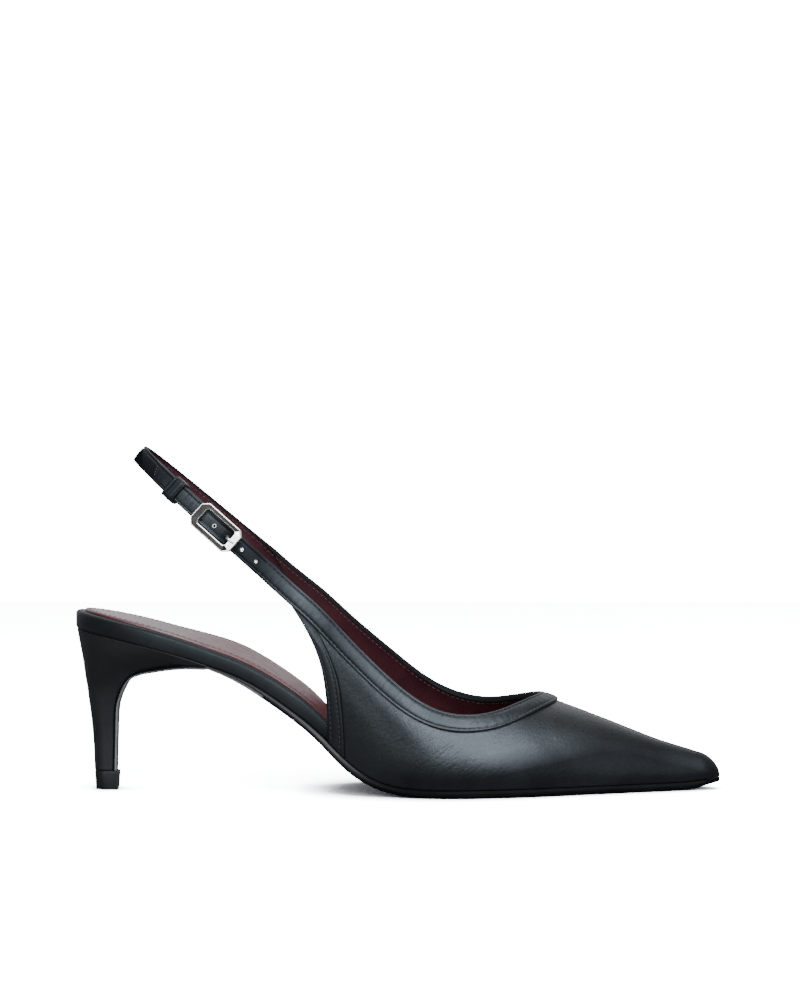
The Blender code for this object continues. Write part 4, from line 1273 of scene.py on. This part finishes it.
def on_tops(tops, share, level):
    """Place at a share of the strap's width and a level above the last, by a curve through three places."""
    weights = ((1 - share) * (1 - 2 * share), 4 * share * (1 - share), share * (2 * share - 1))
    point = sum(weight * top[0] for weight, top in zip(weights, tops))
    normal = sum(weight * top[1] for weight, top in zip(weights, tops))
    return point + unit(normal) * level


def wrinkle(distance):
    """Fine cross-wrinkles of the padded band, between 0 and 1 deep."""
    waves = math.sin(distance * 1.9 + 1.3 * math.sin(distance * 0.37))
    waves += 0.6 * math.sin(distance * 3.1 + 2.0 * math.sin(distance * 0.23) + 1.0)
    return (waves / 1.6 + 1) / 2


def strap_section(tops, shift, free, crease):
    """Section of the strap: free is 0 on the collar, 1 where the strap is loose."""
    ring = []
    for across, lift in OUTER_ROWS:
        body = math.sin(math.pi * min(max((across - 0.2) / 0.58, 0.0), 1.0))
        level = OUTER_FACE + BAND_THICKNESS * lift * lerp(1.0, 0.75, free) - crease * body
        ring.append(on_tops(tops, across, level + shift))
    for across, lift, sunk in INNER_ROWS:
        face = lerp(-WALL / 2 if sunk else -WALL - TURNED_EDGE, INNER_FACE, free)
        ring.append(on_tops(tops, across, face + BAND_THICKNESS * lift + shift))
    return ring


def tail_tops(row):
    """Three places down the punched end, whose last stretch leans over to a slanted edge."""
    tops = sling_tops(row, -1)
    reach = row[0] - (TAIL_AT - TAIL_RUN)
    if reach <= 0:
        return tops
    ahead = sling_tops(OUTER_LOOP[OUTER_LOOP_INDEX[row[0]] + 1], -1)
    step = unit(ahead[0][0] - tops[0][0])
    slant = TAIL_SLANT * reach / TAIL_RUN * STRAP_WIDTH
    return [(top[0] + step * slant * (0.5 - share), top[1]) for top, share in zip(tops, (0.0, 0.5, 1.0))]


def make_tail_stitches():
    """Row across the slanted end of the strap."""
    row = nearest(OUTER_LOOP, TAIL_AT - TAIL_STITCHES)
    tops = tail_tops(row)
    level = OUTER_FACE + billet_shift(row[0]) + 0.22
    places = [on_tops(tops, 0.14 + 0.70 * i / 12, level) for i in range(13)]
    stitch_row("tail_stitches", places, [tops[1][1]] * 13, BLACK_THREAD, "topline_strap", 1.1, 0.16)


def make_strap():
    """Band round the collar that goes on as the sling, out to the punched end and round to the buckle."""
    rings = []
    rows = {"band_top": [], "band_low": [], "lining": []}

    def add(tops, shift, free, crease, stitched=True):
        rings.append(strap_section(tops, shift, free, crease))
        out = tops[1][1]
        if free == 0.0:
            for name, across, groove in zip(("band_top", "band_low"), BAND_STITCHES, BAND_GROOVES):
                rows[name].append((on_tops(tops, across, OUTER_FACE - BAND_THICKNESS * groove + shift), out))
        if stitched:
            inner = lerp(-WALL, INNER_FACE + BAND_THICKNESS * 0.09, free)
            rows["lining"].append((on_tops(tops, LINING_STITCHES, inner + shift), -out))

    for row in reversed([f for f in OUTER_LOOP if STRAP_LAP < f[0] <= TAIL_AT]):
        crease = 0.03 * wrinkle(row[0])
        add(tail_tops(row), billet_shift(row[0]), ease(row[0], -1.0, LOOSE_RUN), crease, row[0] < BUCKLE_AT)
    turns = spaced(0.0, 1.0, 230, 0.25)
    travelled = 0.0
    before = None
    for side, order in ((-1, turns), (1, turns[-2::-1])):
        for turn in order:
            tops = collar_station(turn, side)
            if before is not None:
                travelled += np.linalg.norm(tops[1][0] - before)
            before = tops[1][0]
            add(tops, 0.0, 0.0, 0.10 * wrinkle(travelled))
    for row in INNER_LOOP:
        if row[0] > STRAP_LAP:
            add(sling_tops(row, 1), 0.0, ease(row[0], -1.0, LOOSE_RUN), 0.03 * wrinkle(row[0]))
    fold = BUCKLE_AT + BAR_THICKNESS / 2 + GAP
    for row in reversed(OUTER_LOOP[:-1]):
        if row[0] > fold:
            add(sling_tops(row, -1), 0.0, 1.0, 0.0, row[0] > TAIL_AT)
    strap_lining = [len(OUTER_ROWS) + strip for strip in LINING_STRIPS]

    def finish_of(i, j):
        if j in strap_lining:
            return 1
        return 2 if j > strap_lining[-1] else 0

    strap = loft("strap_and_band", rings, [BAND, LINING, EDGE_LEATHER], pick=finish_of, sharp=60)
    punch_holes(strap)
    for name, row in rows.items():
        finish, thickness = (LINING_THREAD, 0.14) if name == "lining" else (BLACK_THREAD, 0.12)
        places, outward = zip(*row)
        stitch_row("%s_stitches" % name, places, outward, finish, "topline_strap", 2.1, thickness)
    return dress(strap, "topline_strap", "topline_strap")


def rod_rings(places, radii, sides):
    """Round sections along a path."""
    rings = []
    helper = sling_centre(BUCKLE_AT)[1]
    for i, (place, radius) in enumerate(zip(places, radii)):
        run = unit(places[min(i + 1, len(places) - 1)] - places[max(i - 1, 0)])
        first = unit(np.cross(run, helper))
        second = np.cross(run, first)
        rings.append([place + radius * (first * cosine + second * sine) for cosine, sine in circle(sides)])
    return rings


def hole_places():
    """Middle of each punched hole on the strap's outer face, with the way out of it."""
    places = []
    for i in range(HOLE_COUNT):
        distance = BUCKLE_AT - PRONG_HOLE + (1 - i) * HOLE_SPACING
        centre, _, out = sling_centre(distance)
        if distance < STRAP_TURN:
            tops = sling_tops(nearest(OUTER_LOOP, distance), -1)
            centre = on_tops(tops, 0.5, 0.0)
            out = tops[1][1]
        places.append((centre + out * (billet_shift(distance) + (OUTER_FACE + INNER_FACE) / 2), out))
    return places


def punch_holes(strap):
    """Cuts each hole through both layers of the strap."""
    for place, out in hole_places():
        reach = STRAP_THICKNESS / 2 + BAND_PUFF + 0.3
        rings = rod_rings([place - out * reach, place + out * reach], (HOLE_RADIUS, HOLE_RADIUS), 24)
        tool = loft("hole_tool", rings, [BAND])
        cut = strap.modifiers.new("hole", "BOOLEAN")
        cut.operation = "DIFFERENCE"
        cut.solver = "EXACT"
        cut.object = tool
        bpy.context.view_layer.objects.active = strap
        bpy.ops.object.modifier_apply(modifier="hole")
        bpy.data.objects.remove(tool, do_unlink=True)


def make_hole_rims():
    """Pale painted light at each punched hole that shows: a ring round the one in the buckle's window, a disc
    over those beside it. The prong fills the one after the first.
    """
    for number, (place, out) in enumerate(hole_places()):
        if number == 1:
            continue
        down = sling_centre(BUCKLE_AT)[1]
        across = np.cross(out, down)
        margin, bore = RIM_OPEN if number == 0 else RIM_FILLED
        # Painted light: a pale ring or disc in place of the light seen at the hole
        wide = HOLE_RADIUS + margin
        face = STRAP_THICKNESS / 2 + RIM_LIFT
        rings = []
        section = ((bore, -RIM_SINK), (bore, 0.03), (bore + 0.06, 0.08),
                   (wide - 0.08, 0.08), (wide, 0.02), (wide, -RIM_SINK))
        for cosine, sine in circle(28):
            way = across * cosine + down * sine
            rings.append([place + way * radius + out * (face + level) for radius, level in section])
        dress(loft("hole_rim_%d" % number, rings, [HOLE_LIGHT_PAINT], closed=True, sharp=40), "topline_strap")


# Keeper and buckle

def make_keeper():
    """Loop with rolled edges and two raised ridges."""
    centre, down, out = sling_centre(KEEPER_AT)
    run = unit(sling_centre(KEEPER_AT + 2)[0] - sling_centre(KEEPER_AT - 2)[0])
    low = INNER_FACE - 2 * GAP
    high = OUTER_FACE + TAIL_SHIFT + BAND_PUFF + 2 * GAP
    half = STRAP_WIDTH / 2 + GAP
    middle = (low + high) / 2
    tall = (high - low) / 2
    rings = []
    for cosine, sine in circle(72):
        across = math.copysign(abs(cosine) ** KEEPER_CORNER, cosine)
        level = math.copysign(abs(sine) ** KEEPER_CORNER, sine)
        ring = []
        for side, wall in KEEPER_ROWS:
            wall *= KEEPER_WALL
            place = centre + run * side * KEEPER_LENGTH / 2 + down * across * (half + wall)
            ring.append(place + out * (middle + level * (tall + wall)))
        rings.append(ring)
    return dress(loft("keeper_loop", rings, [KEEPER_LEATHER], closed=True, sharp=60), "keeper", "keeper")


def buckle_place(along_strap, across, level):
    """Place by the buckle's middle: towards the toe, up across the strap, and outward."""
    centre, down, out = sling_centre(BUCKLE_AT)
    run = unit(sling_centre(BUCKLE_AT - 2)[0] - sling_centre(BUCKLE_AT + 2)[0])
    lean = BUCKLE_TILT * along_strap if level > OUTER_FACE else 0.0
    return centre + run * along_strap - down * across + out * (level - lean)


def softened(corners, amount, parts=4):
    """Closed path with each corner rounded off."""
    path = []
    count = len(corners)
    for i, corner in enumerate(corners):
        corner = np.array(corner)
        before = np.array(corners[i - 1]) - corner
        after = np.array(corners[(i + 1) % count]) - corner
        start = corner + unit(before) * amount
        end = corner + unit(after) * amount
        for k in range(parts + 1):
            t = k / parts
            path.append(start * (1 - t) ** 2 + corner * 2 * t * (1 - t) + end * t * t)
    return path


def make_buckle():
    """Eight-sided frame with two bright rims."""
    long, high = BUCKLE_HALF_LENGTH, BUCKLE_HALF_HEIGHT
    outer = []
    inner = []
    for sx, sy in ((1, 1), (-1, 1), (-1, -1), (1, -1)):
        sill = BUCKLE_SILL if sy < 0 else 0.0
        window = np.array((sx * (long - BUCKLE_END_BAR), sy * (high - BUCKLE_SIDE_BAR - sill)))
        ends = [(sx * long, sy * (high - BUCKLE_CLIP)), (sx * (long - BUCKLE_CLIP), sy * high)]
        near = [window - np.array((0.0, sy * WINDOW_CLIP)), window - np.array((sx * WINDOW_CLIP, 0.0))]
        turned = sx * sy > 0
        outer += ends if turned else ends[::-1]
        inner += near if turned else near[::-1]
    outer = softened(outer, BUCKLE_ROUND)
    inner = softened(inner, WINDOW_ROUND)
    flat = [edge[0] > long - 0.6 * BUCKLE_CLIP for edge in outer]
    rings = []
    for edge, window, even in zip(outer, inner, flat):
        ring = []
        for number, (share, level) in enumerate(BUCKLE_ROWS):
            if even and 4 < number < 11:
                level = 1.0
            x, y = lerp(edge, window, share)
            ring.append(buckle_place(x, y, FRAME_LEVEL + level * BUCKLE_THICKNESS))
        rings.append(ring)

    # The channel is painted dark as shade, except along the flat end bar
    def finish(i, j):
        return int(j in BUCKLE_CHANNEL and not flat[i])

    rim = loft("buckle_rim", rings, [METAL, CHANNEL_SHADE_METAL], closed=True, pick=finish, sharp=35)
    return dress(rim, "buckle", "buckle_frame")


def make_buckle_bar():
    """Bar under the strap with its two lugs."""
    bar_level = (OUTER_FACE + INNER_FACE) / 2
    half = BAR_THICKNESS / 2
    inner = BUCKLE_HALF_HEIGHT - BUCKLE_SIDE_BAR + 0.1
    outer = BUCKLE_HALF_HEIGHT - LUG_HEIGHT
    top = FRAME_LEVEL + LUG_HEIGHT
    high, low = bar_level + half, bar_level - half
    bridge = [(-outer, top), (-inner, top), (-inner, high), (inner, high), (inner, top), (outer, top),
              (outer, low), (-outer, low)]
    bridge = softened(bridge, BAR_ROUND, 3)
    rings = []
    even = half - BAR_CHAMFER
    for x, tuck in ((-half, BAR_CHAMFER), (-even, 0.0), (even, 0.0), (half, BAR_CHAMFER)):
        ring = []
        for y, level in bridge:
            ring.append(buckle_place(x, y * (1 - tuck / outer), level + (tuck if level < bar_level else 0.0)))
        rings.append(ring)
    return dress(loft("buckle_bar", rings, [METAL], sharp=40), "buckle")


def make_prong():
    """Pin from the bar, out through the punched hole and onto the frame's end bar."""
    under = INNER_FACE
    over = FRAME_LEVEL + BUCKLE_THICKNESS + GAP + PRONG_RADIUS
    start = BAR_THICKNESS / 2 + GAP
    tip = BUCKLE_HALF_LENGTH - PRONG_SHORT
    corners = [(start, under), (PRONG_HOLE - PRONG_FOOT, under), (PRONG_HOLE, under + PRONG_FOOT),
               (PRONG_HOLE, over - PRONG_BEND), (PRONG_HOLE + PRONG_BEND / 3, over - PRONG_BEND / 4),
               (PRONG_HOLE + PRONG_BEND, over)]
    route = [(start, under, 1.0)]
    for i in range(1, len(corners)):
        a, b = corners[i - 1], corners[i]
        route += [(lerp(a[0], b[0], s), lerp(a[1], b[1], s), 1.0) for s in (0.35, 0.7, 1.0)]
    for share in (0.3, 0.6, 0.8, 0.92, 0.98, 1.0):
        round_off = quarter_round(1 - share, 0.3) * lerp(1.0, 0.8, share)
        route.append((lerp(PRONG_HOLE + PRONG_BEND, tip, share), over, max(round_off, 0.12)))
    places = [buckle_place(x, 0.0, level) for x, level, _ in route]
    rings = rod_rings(places, [PRONG_RADIUS * size for _, _, size in route], 20)
    return dress(loft("prong_pin", rings, [METAL], sharp=60), "buckle", "buckle_prong")


# Floor, light and camera

def split_by_camera(tree, others, camera, output):
    """One shader for the camera's own rays and another for all other rays."""
    path = add_node(tree, "LightPath", {})
    mix = add_node(tree, "MixShader", {"Fac": path.outputs["Is Camera Ray"], 1: others, 2: camera})
    tree.links.new(mix.outputs["Shader"], tree.nodes[output].inputs["Surface"])


def make_paper():
    """Plain white paper that is lit to white in the picture and reflects as a pale grey, with a painted
    contact shadow that darkens it near the shoe.
    """
    paper = bpy.data.materials.new("floor_paper")
    paper.use_nodes = True
    tree = paper.node_tree
    tree.nodes.remove(tree.nodes["Principled BSDF"])
    # Painted contact shadow: the paper darkens where the shoe stands close over it
    contact = add_node(tree, "AmbientOcclusion", {"Distance": CONTACT_REACH * MM})
    contact.samples = 12
    shade = add_node(tree, "MapRange", {
        "Value": contact.outputs["AO"],
        "From Min": CONTACT_START,
        "To Min": PAPER_SEEN * (1 - CONTACT_SHADE),
        "To Max": PAPER_SEEN,
    })
    faces = []
    for colour in ((PAPER_BOUNCE, PAPER_BOUNCE, PAPER_BOUNCE, 1.0), shade.outputs["Result"]):
        faces.append(add_node(tree, "BsdfDiffuse", {"Color": colour}).outputs["BSDF"])
    split_by_camera(tree, *faces, "Material Output")
    return paper


def make_floor():
    mesh = bpy.data.meshes.new("floor")
    corners = [(-4.0, -4.0, 0.0), (4.0, -4.0, 0.0), (4.0, 1.2, 0.0), (-4.0, 1.2, 0.0)]
    mesh.from_pydata(corners, [], [(0, 1, 2, 3)])
    mesh.materials.append(make_paper())
    floor = bpy.data.objects.new("floor", mesh)
    bpy.context.collection.objects.link(floor)


def make_area_light(name, place, target, width, height, power, colour=(1.0, 1.0, 1.0)):
    light = bpy.data.lights.new(name, "AREA")
    light.shape = "RECTANGLE"
    light.size = width
    light.size_y = height
    light.energy = power
    light.color = colour
    lamp = bpy.data.objects.new(name, light)
    bpy.context.collection.objects.link(lamp)
    place = np.array(place)
    way = np.array(target) - place
    across = math.hypot(way[0], way[1])
    lamp.location = place
    lamp.rotation_euler = (math.atan2(across, -way[2]), 0.0, math.atan2(way[1], way[0]) - math.pi / 2)


def make_world():
    """Pale studio all round: bright to look at, softer as a light."""
    world = bpy.data.worlds.new("studio")
    bpy.context.scene.world = world
    world.use_nodes = True
    tree = world.node_tree
    ground = tree.nodes["Background"]
    ground.inputs["Color"].default_value = (0.93, 0.96, 1.0, 1.0)
    way = add_node(tree, "TexCoord", {}).outputs["Generated"]
    depth = add_node(tree, "SeparateXYZ", {"Vector": way}).outputs["Y"]
    level = add_node(tree, "MapRange", {
        "Value": depth,
        "From Min": -0.2,
        "From Max": 0.7,
        "To Min": STUDIO_FRONT,
        "To Max": STUDIO_BACK,
    })
    level.interpolation_type = "SMOOTHSTEP"
    tree.links.new(level.outputs["Result"], ground.inputs["Strength"])
    seen = add_node(tree, "Background", {"Color": (1.0, 1.0, 1.0, 1.0), "Strength": STUDIO_SEEN})
    split_by_camera(tree, ground.outputs["Background"], seen.outputs["Background"], "World Output")


def make_camera():
    camera = bpy.data.cameras.new("camera")
    camera.sensor_fit = "HORIZONTAL"
    camera.sensor_width = CAMERA_SENSOR
    camera.lens = CAMERA_LENS
    holder = bpy.data.objects.new("camera", camera)
    bpy.context.collection.objects.link(holder)
    holder.location = CAMERA_PLACE
    holder.rotation_euler = (math.radians(90 - CAMERA_TIP), 0.0, 0.0)
    bpy.context.scene.camera = holder


def make_lights():
    """A wide front light with smaller ones for the side's, the toe's and the buckle's shine."""
    shoe = (0.11, 0.0, 0.06)
    make_area_light("front", (0.83, -1.48, 0.90), shoe, 2.4, 1.45, 81.0, COOL_LIGHT)
    make_area_light("side", (-0.16, -1.74, 0.58), shoe, 0.9, 1.0, 8.5, COOL_LIGHT)
    make_area_light("left", (-0.86, -1.50, 0.42), shoe, 0.5, 0.7, 2.8, COOL_LIGHT)
    make_area_light("card", (-0.10, -1.72, 0.10), (0.05, 0.0, 0.1), 0.34, 0.16, 1.1)
    make_area_light("high", (0.95, -0.45, 1.32), shoe, 0.6, 0.6, 4.5, (0.93, 0.965, 1.0))
    make_area_light("top", (0.1, 0.3, 1.3), shoe, 1.0, 0.7, 5.0)
    make_area_light("back", (0.74, 1.06, 1.06), shoe, 0.7, 0.6, 0.8)


def main():
    make_camera()
    make_world()
    make_lights()
    make_floor()
    make_upper()
    make_facing_stitches()
    make_outsole()
    make_board()
    make_sock()
    make_heel()
    make_top_piece()
    make_strap()
    make_tail_stitches()
    make_hole_rims()
    make_keeper()
    make_buckle()
    make_buckle_bar()
    make_prong()


main()
bpy.context.view_layer.update()
